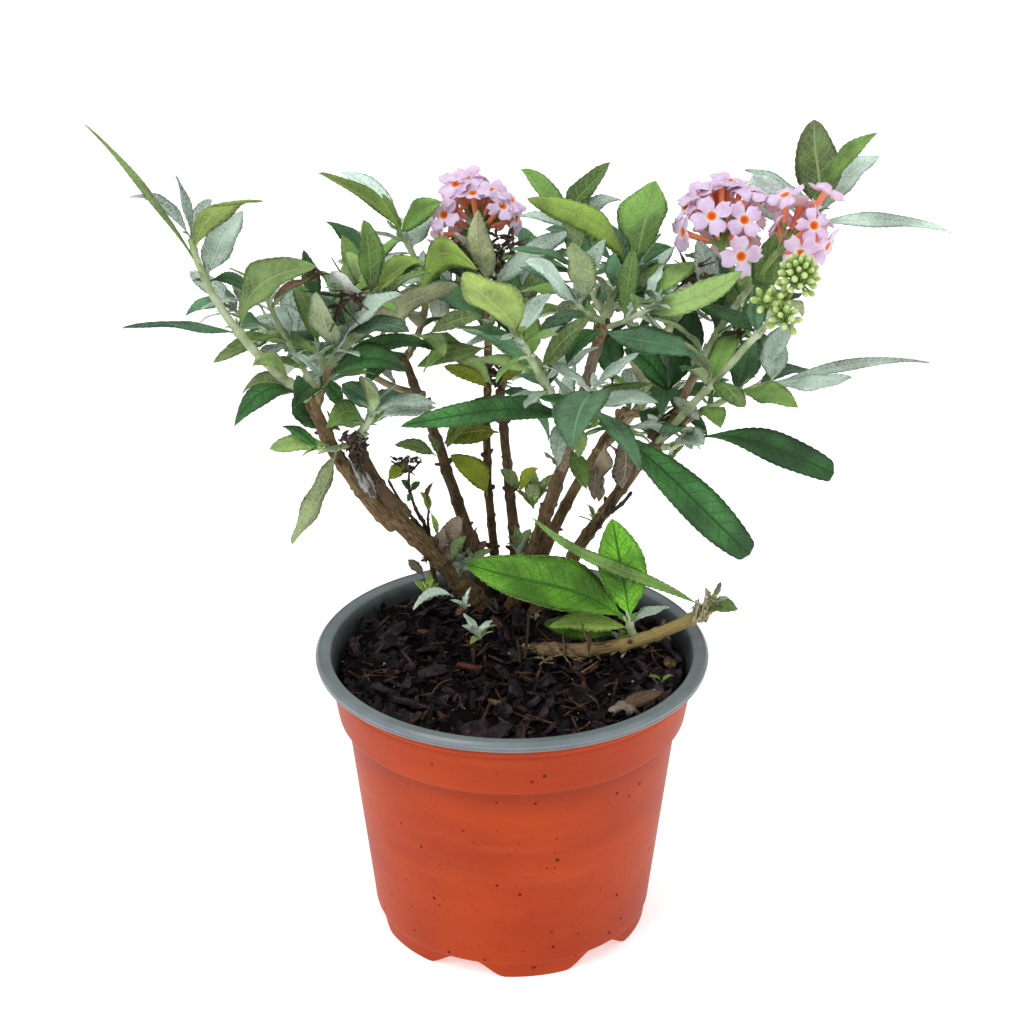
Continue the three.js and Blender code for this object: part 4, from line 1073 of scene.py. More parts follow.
            (0.9, 60, 50, 7, 2, 0.1, 0, "wither"), (0.7, 120, 40, 6, 2, 0.1, 0, "wither"),
            (0.7, 280, 20, 6, 2, 0.1, 0, "wither"),
        ],
    },
    "foliage_back_right": {
        "shoot": ("stem_centre_right", 0.85, (60, 72, 194), (2, 0, -5), (1.6, 0.9)),
        "pairs": pairs(0.4, 0.2, (32, 26), (66, 40)),
        "twigs": [
            twig(0.45, (80, 74, 190), pairs(0.4, 0.3, (30, 24))),
            twig(0.55, (36, 88, 202), pairs(0.4, 0.3, (30, 24))),
        ],
    },
    "foliage_back_far_left": {
        "shoot": ("stem_back_left", 0.85, (-68, 72, 190), (-2, 0, -5), (1.3, 0.9)),
        "pairs": pairs(0.4, 0.2, (32, 26), (66, 40)),
        "twigs": [
            twig(0.45, (-92, 52, 198), pairs(0.4, 0.3, (30, 24))),
            twig(0.6, (-50, 96, 198), pairs(0.4, 0.3, (30, 24))),
        ],
    },
}
leafShape = {
    "tooth": 2.3, "deep": 0.17, "fold": 0.13, "thick": 0.3, "stalk": 0.07, "curl": 0.05, "quilt": 0.26,
    "veinPitch": 4.0, "veins": (4, 14), "sway": 0.03, "twist": 22, "drop": (-0.02, 0.06), "waves": (1.2, 2.6),
    "swing": (0.03, 0.1), "widest": (0.42, 0.54), "blunt": (0.62, 0.85), "clear": 0.3, "tries": 7,
    "tryTurn": 9,
}
backKinds = ("teal", "green", "dark", "silver", "olive")


def randomFrom(seed):  # the solids' leaves are drawn from the same numbers
    state = [seed & 0xFFFFFFFF]

    def draw():
        state[0] = (state[0] + 0x6D2B79F5) & 0xFFFFFFFF
        t = ((state[0] ^ (state[0] >> 15)) * (1 | state[0])) & 0xFFFFFFFF
        t = ((t + (((t ^ (t >> 7)) * (61 | t)) & 0xFFFFFFFF)) & 0xFFFFFFFF) ^ t
        return ((t ^ (t >> 14)) & 0xFFFFFFFF) / 4294967296
    return draw


def leaving(curve, at, about, spread):  # heading and rise of a leaf that leaves a shoot at these angles
    along = curve.along(at)
    across = Vector((0, 0, 1)).cross(along).normalized()
    outward = turned(across, along, about)
    way = along * math.cos(math.radians(spread)) + outward * math.sin(math.radians(spread))
    return math.degrees(math.atan2(way.y, way.x)), math.degrees(math.asin(max(-1, min(1, way.z))))


def pairedLeaves(curve, rule, seed):  # opposite pairs, each turned a quarter from the last
    leaves = []
    node = 0
    at = rule["from"]
    while at <= 1.001:
        t = min(at, 1)
        for half in (0, 1):
            draw = randomFrom(seed * 97 + node * 2 + half)
            about = 90 * (node % 2) + 180 * half + (draw() - 0.5) * 50
            heading, rise = leaving(curve, t, about, lerp(*rule["spread"], t) + (draw() - 0.5) * 16)
            length = lerp(*rule["length"], t) * (0.8 + 0.4 * draw())
            width = length * (0.28 + 0.1 * draw())
            arch = 0.08 + 0.1 * draw()
            leaves.append((t, heading, rise * 0.8, length, width, arch, (draw() - 0.5) * 40,
                           backKinds[int(draw() * 4.99)]))
        node += 1
        at += rule["step"]
    return leaves


class Leaf:
    def __init__(self, root, row):
        _, self.heading, self.rise, self.length, self.width, self.arch, self.roll, self.kind = row
        self.root = root
        self.frame()

    def frame(self):
        self.along = direction(self.heading, self.rise)
        level = direction(self.heading - 90, 0)
        self.over = level.cross(self.along).normalized()
        self.side = turned(level, self.along, self.roll)
        self.face = turned(self.over, self.along, self.roll)

    def spine(self, t):
        lift = self.arch * self.length * 4 * t * (1 - t)
        return self.root + self.along * (self.length * t) + self.over * lift

    def probe(self, start):  # a plain thin blade, to see whether the leaf has room
        points, faces = [self.spine(start)], []
        for t, spread in ((max(0.36, start + 0.06), 1), (0.7, 0.86)):
            middle = self.spine(t)
            half, lift = self.width / 2 * spread, leafShape["fold"] * self.width * spread
            points += [middle + self.side * half + self.face * lift, middle - self.face * leafShape["clear"],
                       middle - self.side * half + self.face * lift, middle + self.face * leafShape["clear"]]
        points.append(self.spine(1))
        for i in range(4):
            j = (i + 1) % 4
            faces += [(0, 1 + i, 1 + j), (1 + i, 5 + i, 5 + j, 1 + j), (5 + i, 9, 5 + j)]
        return Shape(points, faces)


class Shape:  # what stands in the way of a new leaf
    def __init__(self, points, faces, owner="", leafy=False):
        self.tree = BVHTree.FromPolygons(points, faces)
        self.low = [min(p[k] for p in points) for k in range(3)]
        self.high = [max(p[k] for p in points) for k in range(3)]
        self.owner = owner
        self.leafy = leafy

    def meets(self, other):
        apart = any(self.high[k] < other.low[k] or other.high[k] < self.low[k] for k in range(3))
        return not apart and bool(self.tree.overlap(other.tree))


def tubeShape(curve, radius, owner):
    points, faces, steps, sides = [], [], 6, 6
    for s in range(steps + 1):
        t = s / steps
        across = Vector((0, 1, 0)).cross(curve.along(t)).normalized()
        over = curve.along(t).cross(across)
        r = lerp(radius[0], radius[1], t)
        points += circle(curve.at(t), across, over, r, sides)
    for a in range(0, steps * sides, sides):
        b = a + sides
        faces += [(a + i, a + (i + 1) % sides, b + (i + 1) % sides, b + i) for i in range(sides)]
    return Shape(points, faces, owner)


placed = [tubeShape(limbCurves[name], radius, name) for name, (foot, tip, bow, radius) in limbs.items()]


def clearLeaf(leaf, owner, tries):  # turned a little each way until it is clear
    heading, rise = leaf.heading, leaf.rise
    for n in range(tries + 1):
        turn = math.ceil(n / 2) * leafShape["tryTurn"] * (1 if n % 2 else -1)
        leaf.heading, leaf.rise = heading + turn, rise + abs(turn) / 3
        leaf.frame()
        whole, outer = leaf.probe(0.1), leaf.probe(0.3)
        blocked = any(outer.meets(other) if other.owner == owner else whole.meets(other)
                      for other in placed if other.owner != owner or other.leafy)
        if not blocked:
            whole.owner, whole.leafy = owner, True
            placed.append(whole)
            return True
    return False


def bladeWidth(t, middle, blunt):  # half the blade's width there, of its widest
    stalk = leafShape["stalk"]
    if t <= stalk:
        return 0.09
    s = (t - stalk) / (1 - stalk)
    swell = math.sin(math.pi * min(1, s) ** (math.log(0.5) / math.log(middle)))
    return max(0.09 * (1 - s), swell ** lerp(0.95, blunt, s))


leafColumns = (  # a ring's corners: how far across the blade, and under or over its middle
    (1, 0), (0.6, -1), (0.25, -1), (0, -1), (-0.25, -1), (-0.6, -1), (-1, 0), (-0.6, 1), (-0.25, 1), (0, 1),
    (0.25, 1), (0.6, 1),
)


def drawLeaf(draft, leaf, rnd, first=0):
    rule = leafShape
    long, wide = leaf.length, leaf.width
    fine = rule["tooth"] * (0.7 + 0.3 * min(1, wide / 12))
    count = max(3, round(long * 0.92 / fine)) * 3  # three rings make a tooth
    deep = min(rule["deep"], 0.05 * wide)
    veins = min(rule["veins"][1], max(rule["veins"][0], round(long / rule["veinPitch"])))
    lean = 0.45 * wide / long
    sway = rnd.uniform(-rule["sway"], rule["sway"]) * long
    twist = rnd.uniform(-rule["twist"], rule["twist"])
    drop = rnd.uniform(*rule["drop"]) * long
    waves = rnd.uniform(*rule["waves"])
    swing = rnd.uniform(*rule["swing"]) * wide
    phase = rnd.uniform(0, 6.28)
    fold = rule["fold"] * rnd.uniform(0.4, 2.2)
    curl = rule["curl"] * rnd.uniform(0, 4)
    widest, blunt = rnd.uniform(*rule["widest"]), rnd.uniform(*rule["blunt"])
    if leaf.kind == "dark" and long > 44 and wide > 9.9:  # the long dark leaves are broadest near the tip
        widest, blunt, twist = 0.64, 0.24, 0
    if leaf.kind == "wither":
        curl, swing, twist = curl + 0.25, 0.18 * wide, twist * 3
    quilt = rule["quilt"] * min(1, wide / 12)
    rings, marks = [], []
    for k in range(count + 1):
        t = k / count
        s = max(0, (t - rule["stalk"]) / (1 - rule["stalk"]))
        middle = (leaf.spine(t) + leaf.side * (sway * math.sin(2 * math.pi * t) * 0.6)
                  - leaf.over * (drop * 4 * (t * t - t ** 3)))
        turn = math.radians(twist * (t - 0.3))
        side = leaf.side * math.cos(turn) + leaf.face * math.sin(turn)
        face = leaf.face * math.cos(turn) - leaf.side * math.sin(turn)
        width = bladeWidth(t, widest, blunt)
        half = wide / 2 * width
        tooth = (0.3, 1.0, -0.5)[k % 3] * deep * min(1, width * 2) if s > 0.05 else 0
        thick = rule["thick"] / 2 * (1.6 if s == 0 else 1)
        bulge = quilt * min(1, width * 1.3)

        def corner(u, lie):
            x = u * (half + tooth * abs(u) ** 5)
            shape = abs(u)
            lift = (fold * shape ** 1.2 - curl * shape ** 3) * wide * width ** 0.6
            wave = math.sin(2 * math.pi * waves * t + phase + (2.1 if u > 0 else 0))
            lift += swing * wave * shape ** 2 * width
            beat = 0.5 - 0.5 * math.cos(2 * math.pi * (s - lean * shape) * veins)
            lift += bulge * beat * (1 - shape ** 4) * (0 if s == 0 else 1)
            if shape < 0.1:
                lift -= 0.12 if lie > 0 else 0.3 * min(1, wide / 10)
            return middle + side * x + face * (lift + lie * thick)

        rings.append([corner(u, lie) for u, lie in leafColumns])
        marks.append([((s - lean * abs(u)) * veins, 0.5 + 0.45 * u) for u, lie in leafColumns])
    draft.skin(rings, [first + 1] * 6 + [first] * 6, marks)


# Leaf looks: upper side, its veins, lower side, its veins, margin, roughness, haze, how far the tone varies
leafLooks = {
    "dark": (
        (55, 103, 50), (35, 78, 35), (141, 157, 112), (170, 183, 142), (102, 131, 76), 0.4, 0.1, 0.26),
    "teal": (
        (76, 119, 83), (121, 155, 121), (154, 170, 131), (187, 196, 162), (146, 171, 127), 0.58, 0.22, 0.26),
    "silver": (
        (164, 192, 174), (215, 226, 211), (190, 208, 187), (213, 222, 205), (211, 221, 204), 0.8, 0.4, 0.26),
    "green": (
        (102, 139, 65), (144, 171, 105), (154, 173, 120), (182, 195, 150), (160, 184, 126), 0.52, 0.1, 0.24),
    "lime": (
        (116, 145, 60), (152, 174, 92), (146, 172, 88), (176, 194, 120), (172, 194, 122), 0.55, 0.08, 0.24),
    "olive": (
        (120, 148, 84), (157, 179, 120), (169, 174, 133), (193, 198, 159), (175, 193, 140), 0.62, 0.22, 0.26),
    "fresh": (
        (108, 170, 48), (46, 104, 26), (150, 190, 74), (118, 160, 62), (176, 204, 106), 0.42, 0.02, 0.26),
    "ochre": (
        (118, 132, 30), (154, 160, 70), (146, 154, 58), (172, 174, 96), (140, 142, 74), 0.6, 0.1, 0.24),
    "wither": (
        (142, 128, 108), (172, 158, 138), (164, 152, 134), (186, 174, 156), (112, 96, 84), 0.85, 0.3, 0.3),
    "paper": (
        (168, 168, 164), (206, 206, 200), (186, 186, 180), (208, 208, 202), (146, 144, 138), 0.75, 0.3, 0.2),
    "dead": (
        (96, 74, 54), (132, 108, 84), (128, 106, 84), (156, 136, 110), (76, 56, 40), 0.85, 0.2, 0.3),
}


leafPattern = {"jitter": 260, "cloud": 60, "pucker": 900, "grain": 2200, "net": 640, "bloom": 190}


def leafFinish(name, base, vein, edge, rough, raised, haze, vary, shade):
    scale = leafPattern
    f = Finish(name)
    off = f.maths("ABSOLUTE", f.mark("Y") - 0.5) / 0.45  # 0 at the midrib, 1 at the margin
    beat = f.maths("PINGPONG", f.mark("X") + (f.grain(scale["jitter"]) - 0.5) * 0.6, 0.5)
    lateral = (1 - beat.step(0.02, 0.1)) * (1 - off.step(0.5, 0.92))
    rib = 1 - off.step(0.03, 0.09)
    cloud = f.grain(scale["cloud"])
    pucker = f.grain(scale["pucker"], 3.0)
    fine = f.grain(scale["grain"])
    net = 1 - f.cells(scale["net"], "DISTANCE_TO_EDGE").step(0.03, 0.2)
    bloom = f.grain(scale["bloom"], 4.0).step(0.5, 0.78) * (1 - off * 0.5)
    base = shaded(base, shade)
    colour = f.blend(cloud.step(0.36, 0.64), shaded(base, 1 - vary), shaded(base, 1 + 0.7 * vary))
    colour = f.blend(pucker.step(0.5, 0.7) * (0.5 if raised else 0.3), colour, shaded(base, 0.74))
    colour = f.blend(bloom * haze, colour, tuple(lerp(v, 205, 0.55) for v in base))
    colour = f.blend(net * (0.42 if raised else 0.24), colour, vein)
    veins = f.maths("MAXIMUM", lateral * 0.5, rib * 0.85)
    colour = f.blend(veins, colour, vein)
    colour = f.blend(off.step(0.94, 0.99) * 0.7, colour, edge)
    height = (veins + net * 0.45) * (0.9 if raised else -0.8) + pucker * 0.5 + fine * 0.2
    return f.done(colour, rough + fine * 0.16, height, 0.55, specular=0.35)


def leafFinishes(kind):  # two tints of the upper and lower side
    top, topVein, under, underVein, edge, rough, haze, vary = leafLooks[kind]
    made = []
    for tag, shade in (("A", 1.15), ("B", 0.94)):
        same = (haze, vary, shade)
        made.append(leafFinish(kind + "Leaf" + tag, top, topVein, edge, rough, kind == "silver", *same))
        made.append(leafFinish(kind + "Under" + tag, under, underVein, edge, max(0.65, rough), True, *same))
    return made


shootRule = {
    "node": 9.5, "tuft": (5, 9), "tuftSpread": (22, 58), "filler": (14, 24), "fillerSpread": (45, 75),
    "fillerTries": 3, "woody": 0.42, "swell": 0.35, "swellWidth": 0.8, "step": 0.9, "wander": 0.3,
    "sides": 10, "relief": 0.08,
    "greener": {"foliage_far_left": 0.04, "foliage_bud_shoot": 0.1, "foliage_front_shoot": 0.1},
    "bare": ("foliage_far_left", "foliage_bud_shoot", "foliage_left_low", "foliage_right_long",
             "foliage_right_low", "foliage_lying", "foliage_lying_tip", "flower_heads_right"),
}
leafDrafts = {}
leafOwners = {}
woodyPaths = []
greenPaths = []


def growLeaf(curve, row, owner, rnd, tries):
    leaf = Leaf(curve.at(min(1, row[0])), row)
    if not clearLeaf(leaf, owner, tries):
        return False
    draft = leafDrafts.setdefault(leaf.kind, Draft())
    drawLeaf(draft, leaf, rnd, 2 * rnd.randrange(2))
    leafOwners.setdefault(leaf.kind, set()).add(owner)
    return True


def growTuft(curve, at, owner, rnd, count, size):  # small young leaves at a node or a tip
    turn = rnd.uniform(0, 360)
    for k in range(count):
        about = turn + 360 * k / count + rnd.uniform(-20, 20)
        heading, rise = leaving(curve, min(1, at), about, rnd.uniform(*shootRule["tuftSpread"]))
        length = rnd.uniform(*size)
        row = (at, heading, rise, length, length * rnd.uniform(0.28, 0.4), rnd.uniform(0, 0.15),
               rnd.uniform(-30, 30), rnd.choice(("silver", "silver", "lime", "teal")))
        growLeaf(curve, row, owner, rnd, 1)


def shootPath(curve, radius, nodes, start, seed):
    count = max(8, int(curve.length / shootRule["step"]))
    path = []
    for k in range(count + 1):
        t = start + (1 - start) * k / count
        near = [math.exp(-(((t - n) * curve.length) / shootRule["swellWidth"]) ** 2) for n in nodes]
        r = lerp(*radius, max(0, t)) * (1 + shootRule["swell"] * max(near, default=0))
        wander = drift(t * curve.length * 0.12, seed * 5.3, 2.7, 4) * shootRule["wander"]
        path.append((curve.at(t) + wander * ease(0, 0.15, t) * ease(1, 0.85, t), r))
    path.append((curve.at(1) + curve.along(1) * radius[1] * 0.8, radius[1] * 0.35))
    return path


def growMass(name):  # its shoots: middle line, radii, and row of the table
    mass = masses[name]
    limb, at, tip, bow, radius = mass["shoot"]
    parent = limbCurves[limb]
    stem = Bow(parent.at(at) + parent.along(at) * (0.3 if at == 1 else 0), tip, bow)
    shoots = [(stem, radius, mass)]
    for side in mass.get("twigs", ()):
        foot = stem.at(side["at"])
        sag = (0, 0, -0.06 * (Vector(side["tip"]) - foot).length)
        shoots.append((Bow(foot, side["tip"], sag), (1, 0.7), side))
    for curve, radius, _ in shoots:
        placed.append(tubeShape(curve, radius, name))
    return shoots


def leafMass(name, number, shoots):
    rnd = random.Random(number * 131)
    for c, (curve, radius, row) in enumerate(shoots):
        rows = list(row.get("posed", ()))
        if row.get("pairs"):
            rows += pairedLeaves(curve, row["pairs"], number * 11 + c)
        for leafRow in rows:
            growLeaf(curve, leafRow, name, rnd, leafShape["tries"])
        nodes = sorted({min(1, r[0]) for r in rows})
        path = shootPath(curve, radius, nodes, -2.2 / curve.length if c == 0 else 0, number * 10 + c)
        cut = int(len(path) * shootRule["greener"].get(name, shootRule["woody"])) if c == 0 else 0
        if cut:
            woodyPaths.append(path[:cut + 1])
        greenPaths.append(path[max(0, cut - 1):])


def fillMass(name, number, shoots):  # finer growth: leaf pairs at the bare nodes, and tufts in the axils
    rnd = random.Random(number * 137)
    for curve, _, row in shoots:
        rows = list(row.get("posed", ())) + [(1,)]
        steps = max(1, int(curve.length / shootRule["node"]))
        if name in shootRule["bare"]:
            steps = 0
            for node in sorted({min(1, r[0]) for r in rows}):
                growTuft(curve, node, name, rnd, 2, (4, 7))
        for k in range(1, steps + 1):
            at = k / (steps + 0.4)
            for half in (0, 1):
                about = 90 * (k % 2) + 180 * half + rnd.uniform(-25, 25)
                heading, rise = leaving(curve, at, about, rnd.uniform(*shootRule["fillerSpread"]))
                length = rnd.uniform(*shootRule["filler"])
                fill = (at, heading, rise * 0.8, length, length * rnd.uniform(0.26, 0.38),
                        rnd.uniform(0.06, 0.18), rnd.uniform(-25, 25),
                        rnd.choice(("teal", "green", "silver", "dark", "olive", "silver", "silver")))
                growLeaf(curve, fill, name, rnd, shootRule["fillerTries"])
            growTuft(curve, at, name, rnd, 2, shootRule["tuft"])
        if steps:
            growTuft(curve, 1, name, rnd, 5, shootRule["tuft"])


# Single leaves on old wood and on the compost: root, heading, rise, length, width, arch, roll, kind
strays = [
    ((-8.6, 45, 133.9), 185, 52, 20, 8.5, 0.16, -65, "ochre"),
    ((-4.5, 46, 157), 185, -10, 19, 8, 0.12, -65, "ochre"),
    ((-25.8, 44, 149.2), 188, 19, 15, 4.5, 0.15, -55, "olive"),
    ((-25.1, 44, 149.6), 185, 66, 8.5, 4, 0.1, -40, "olive"),
    ((31.4, 34, 158.2), 245, -74, 20, 9, 0.22, 40, "wither"),
    ((31.4, 34, 158.2), 323, -51, 11, 6, 0.2, -30, "dead"),
    ((28, 30, 152), 265, -60, 12, 5, 0.25, 0, "wither"),
    ((-16.9, 30, 132.5), 236, -58, 15, 8, 0.2, 20, "wither"),
    ((-12, 32, 128), 250, -60, 12, 6, 0.2, -20, "dead"),
    ((-19.3, 8, 113.7), 205, -7, 15, 3.4, 0.3, -50, "silver"),
    ((25.1, -2, 97), 160, 78, 12, 4, 0.1, 0, "dead"), ((34, 4, 101), 169, 6, 24, 9, 0.06, -50, "fresh"),
    ((32, -36, 93.4), 14, 22, 18, 6, 0.12, 30, "dead"), ((41, -36, 94), 200, 18, 12, 7, 0.2, -10, "wither"),
    ((42, -34, 94), 60, 30, 9, 5, 0.2, 0, "wither"), ((48.5, -20, 96.7), 190, 30, 5.5, 2.4, 0.2, 0, "lime"),
    ((48.5, -20, 96.7), 20, 24, 4.5, 2.2, 0.2, 0, "lime"),
    ((-46.2, 8, 175.4), 189, 15, 13, 7.5, 0.14, -50, "green"),
    ((-44.4, 12, 178.2), 180, 44, 14, 8, 0.12, -50, "teal"),
    ((-44.7, 12, 177.6), 14, 36, 11, 7, 0.14, 50, "teal"),
    ((-42.7, 4, 178.7), 348, 17, 20, 6, 0.12, 45, "silver"),
    ((-7.4, 44, 172.6), 180, 31, 18, 5, 0.1, -55, "ochre"),
    ((-6.7, 46, 174.3), 172, 38, 18, 7, 0.1, -50, "olive"),
    ((-4, 46, 174.3), 0, 37, 11, 4, 0.12, 50, "ochre"),
    ((-4, 46, 171.8), 340, -10, 12, 4.5, 0.14, 50, "dark"),
    ((84.7, 30, 235.2), 167, 60, 18, 13, 0.05, -55, "silver"),
    ((46.6, 0, 179.7), 336, -17, 16, 4, 0.1, 10, "teal"),
    ((62.9, -4, 190.8), 335, 46, 7.5, 5.5, 0.1, 0, "silver"),
    ((50.1, 0, 188.5), 323, -27, 12, 6, 0.12, 10, "silver"),
    ((60, 2, 111.4), 350, 6, 13, 5, 0.1, 10, "green"),
    ((-52.9, 7, 163.6), 25, -59, 18, 5.5, 0.04, 60, "paper"),
    ((-41.2, 24, 148.7), 0, 50, 10, 4.8, 0.05, 65, "ochre"),
    ((-33.6, 24, 144.7), 199, 56, 6, 2.6, 0.1, -60, "dark"),
    ((-33.6, 24, 144.7), 0, 50, 5, 2.4, 0.1, 60, "dark"),
    ((-33.6, 24, 144.4), 245, -37, 3.5, 2, 0.1, -60, "dark"),
    ((-27.7, 24, 137.4), 199, 68, 8.5, 2.8, 0.15, -60, "lime"),
    ((-27.7, 24, 137.4), 122, 78, 6, 2.4, 0.1, -60, "lime"),
    ((-27.7, 24, 137.4), 0, 82, 11, 2.6, 0.15, 40, "dead"),
    ((-27.4, 24, 137.8), 0, -75, 9, 2, 0.05, 60, "lime"),
    ((-22.3, 24, 119.6), 0, 74, 17, 8.5, 0.05, 70, "wither"),
    ((-24.2, 23, 123.1), 0, 80, 9, 6, 0.1, 60, "wither"),
    ((-20.5, 22, 119.8), 0, 62, 11, 4.5, 0.12, 60, "olive"),
    ((-29.6, 24, 126.7), 158, 45, 8.5, 3.2, 0.1, -60, "lime"),
    ((-24.3, 25, 120.6), 180, 66, 8.5, 4.5, 0.2, -50, "wither"),
    ((-13.8, 24, 119.2), 0, 32, 8.5, 2.8, 0.1, 50, "olive"),
    ((-13.8, 24, 119.2), 180, 77, 4.5, 2.2, 0.1, -60, "olive"),
    ((-11.5, 26, 120.2), 0, 64, 6.5, 2.8, 0.1, 60, "dead"),
    ((-29.8, 24, 113.2), 180, 52, 8.5, 3.4, 0.1, -60, "wither"),
    ((31.8, 8, 189.1), 180, 76, 20.5, 9, 0.08, -75, "dark"),
    ((-26.9, 20, 201.6), 347, 24, 19.5, 6, 0.08, 50, "olive"),
    ((-29.3, 40, 181.3), 328, 45, 16, 6, 0.1, 55, "green"),
    ((-53.6, 10, 179.1), 200, 59, 15.5, 6, 0.08, -60, "dark"),
    ((-62.3, 8, 172.9), 200, 58, 15, 8, 0.08, -60, "dark"),
    ((2.7, 30, 142.1), 197, 52, 11.5, 5, 0.1, -55, "olive"),
    ((2.7, 30, 142.1), 341, 57, 11.5, 5, 0.1, 55, "ochre"),
    ((34, 8, 171), 0, -84, 18, 8, 0.12, 70, "wither"), ((78.7, 12, 216.2), 0, 82, 22, 9, 0.05, 75, "green"),
    ((60.7, 8, 217.6), 180, 80, 20, 8, 0.08, -70, "silver"),
    ((79.4, -2, 197.4), 0, 64, 18, 7, 0.12, 60, "silver"),
]
sprouts = [  # root, leaves, shortest, longest, widest lean, kinds
    ((-28, 14, 110.5), 8, 6, 9.5, 80, ("lime", "lime", "fresh")),
    ((-15.4, 12, 107), 6, 4, 8, 60, ("silver",)),
    ((-10.6, 0, 102), 8, 6, 11, 84, ("silver", "silver", "olive")),
    ((2.7, 30, 117), 8, 7, 13, 60, ("silver", "olive")),
    ((7.1, 30, 136), 8, 8, 15, 52, ("olive", "green", "olive")),
    ((15.9, 26, 152), 6, 6, 10, 75, ("wither", "olive")),
    ((45.9, 6, 171), 7, 6, 12, 70, ("silver", "olive")), ((51, 0, 166), 5, 4, 8, 70, ("olive", "silver")),
    ((26.9, 20, 135.5), 6, 4, 8, 80, ("silver", "olive")),
    ((36.6, 3, 98.4), 6, 4, 8, 70, ("silver", "lime")), ((-18, 26, 112), 7, 8, 13, 40, ("silver", "olive")),
    ((-6, 30, 110), 5, 4, 8, 80, ("silver", "teal")), ((8, 12, 103), 4, 3, 6, 80, ("lime", "silver")),
    ((-42.5, 6, 180), 6, 5, 9, 60, ("silver",)),
]


def growStrays():
    rnd = random.Random(71)
    rows = [(root, *row) for root, *row in strays]
    for root, count, shortest, longest, lean, kinds in sprouts:
        for k in range(count):
            long = rnd.uniform(shortest, longest)
            rows.append((root, 360 * k / count + rnd.uniform(-25, 25), 90 - rnd.uniform(0.2, 1) * lean, long,
                         long * rnd.uniform(0.3, 0.42), rnd.uniform(0.05, 0.2), rnd.uniform(-30, 30),
                         rnd.choice(kinds)))
    for root, *row in rows:
        leaf = Leaf(Vector(root), (0, *row))
        drawLeaf(leafDrafts.setdefault(leaf.kind, Draft()), leaf, rnd, 2 * rnd.randrange(2))


# Withered remains: dark curled florets, dried twigs, and flakes of bark, straw and crumbled wood
witheredFlorets = [  # middle, width, height, how many, longest
    ((-16, 51, 219.5), 8, 9, 34, 6.5), ((-2.5, 51, 221), 7, 8, 30, 6.5), ((-5, 51, 212), 3, 10, 18, 5),
    ((-50, 5, 219), 7, 4, 24, 9), ((-61, 7, 227), 4, 3, 8, 5), ((57.6, 8, 225.5), 7, 4, 26, 8),
    ((72, 2, 210), 5, 4, 10, 6), ((-35, 24, 154.5), 7, 3.5, 16, 3.6), ((-36, 24, 134), 4, 5, 8, 3.6),
    ((-6.5, 50, 174), 7, 11, 26, 6), ((-27, 23, 124), 5, 8, 9, 4.5),
]
driedTwigs = [  # foot, tip, thickness
    ((-26, 26, 110), (-29.5, 25, 133.3), 0.9), ((-29.5, 25, 133.3), (-33.6, 24, 143.6), 0.8),
    ((-33.6, 24, 143.6), (-33.6, 24, 154.5), 0.6), ((-29.5, 25, 130), (-41, 24, 149), 0.7),
    ((-27.7, 25, 128), (-27.7, 24, 138), 0.6), ((-33.6, 24, 152), (-40, 24, 156), 0.45),
    ((-33.6, 24, 152), (-30, 24, 156.5), 0.45), ((4, 4, 91), (5.6, 5, 110), 0.65),
    ((2.6, 2, 90), (1.6, 2, 101), 0.6), ((27, 21, 132), (35, 12, 151), 1.2),
    ((31, 17, 140), (39, 12, 150), 0.9), ((44, 2, 173), (53, 4, 183), 1.3),
    ((27, 1, 207), (30, 0, 214), 1.1), ((27, 1, 207), (35, -1, 213), 1.0),
]
flakes = [  # middle, spread, heading, rise, how many, length, width, look
    ((-51, 10, 168), (4.5, 3, 4.5), None, None, 60, 4.0, 1.8, "crumbled"),
    ((-50, 9, 160), (2, 2, 6), 330, -55, 14, 7.0, 1.4, "crumbled"),
    ((-46, 10, 152), (3, 2, 3), 320, -60, 10, 6.0, 1.2, "crumbled"),
    ((9, 6, 95.6), (3.5, 1.5, 1.6), 188, -6, 16, 7.0, 1.4, "brownish"),
    ((18, 2, 94.5), (9, 1.5, 1), 192, 2, 10, 8.0, 1.2, "straw"),
    ((16, 2, 98), (5, 1, 1.5), 140, 48, 7, 8.0, 1.2, "brownish"),
    ((35, 1, 97.6), (3.4, 2, 2), 15, 35, 16, 4.4, 1.2, "cream"),
    ((62, 1, 111), (3, 2, 3), 30, 60, 34, 6.5, 1.3, "cream"),
    ((63, 1, 112), (2, 2, 2), 60, 55, 8, 9.0, 0.7, "cream"),
    ((27.3, 0, 210), (2.6, 2, 2), 60, 70, 22, 5.0, 1.6, "straw"),
    ((-58, 9, 176), (3, 2, 4), 130, 40, 10, 5.0, 1.4, "straw"),
    ((-9, 34, 97), (6, 5, 3), None, None, 26, 5.0, 1.6, "crumbled"),
    ((20, 0, 94), (14, 8, 1), None, 4, 10, 7.0, 0.7, "straw"),
]


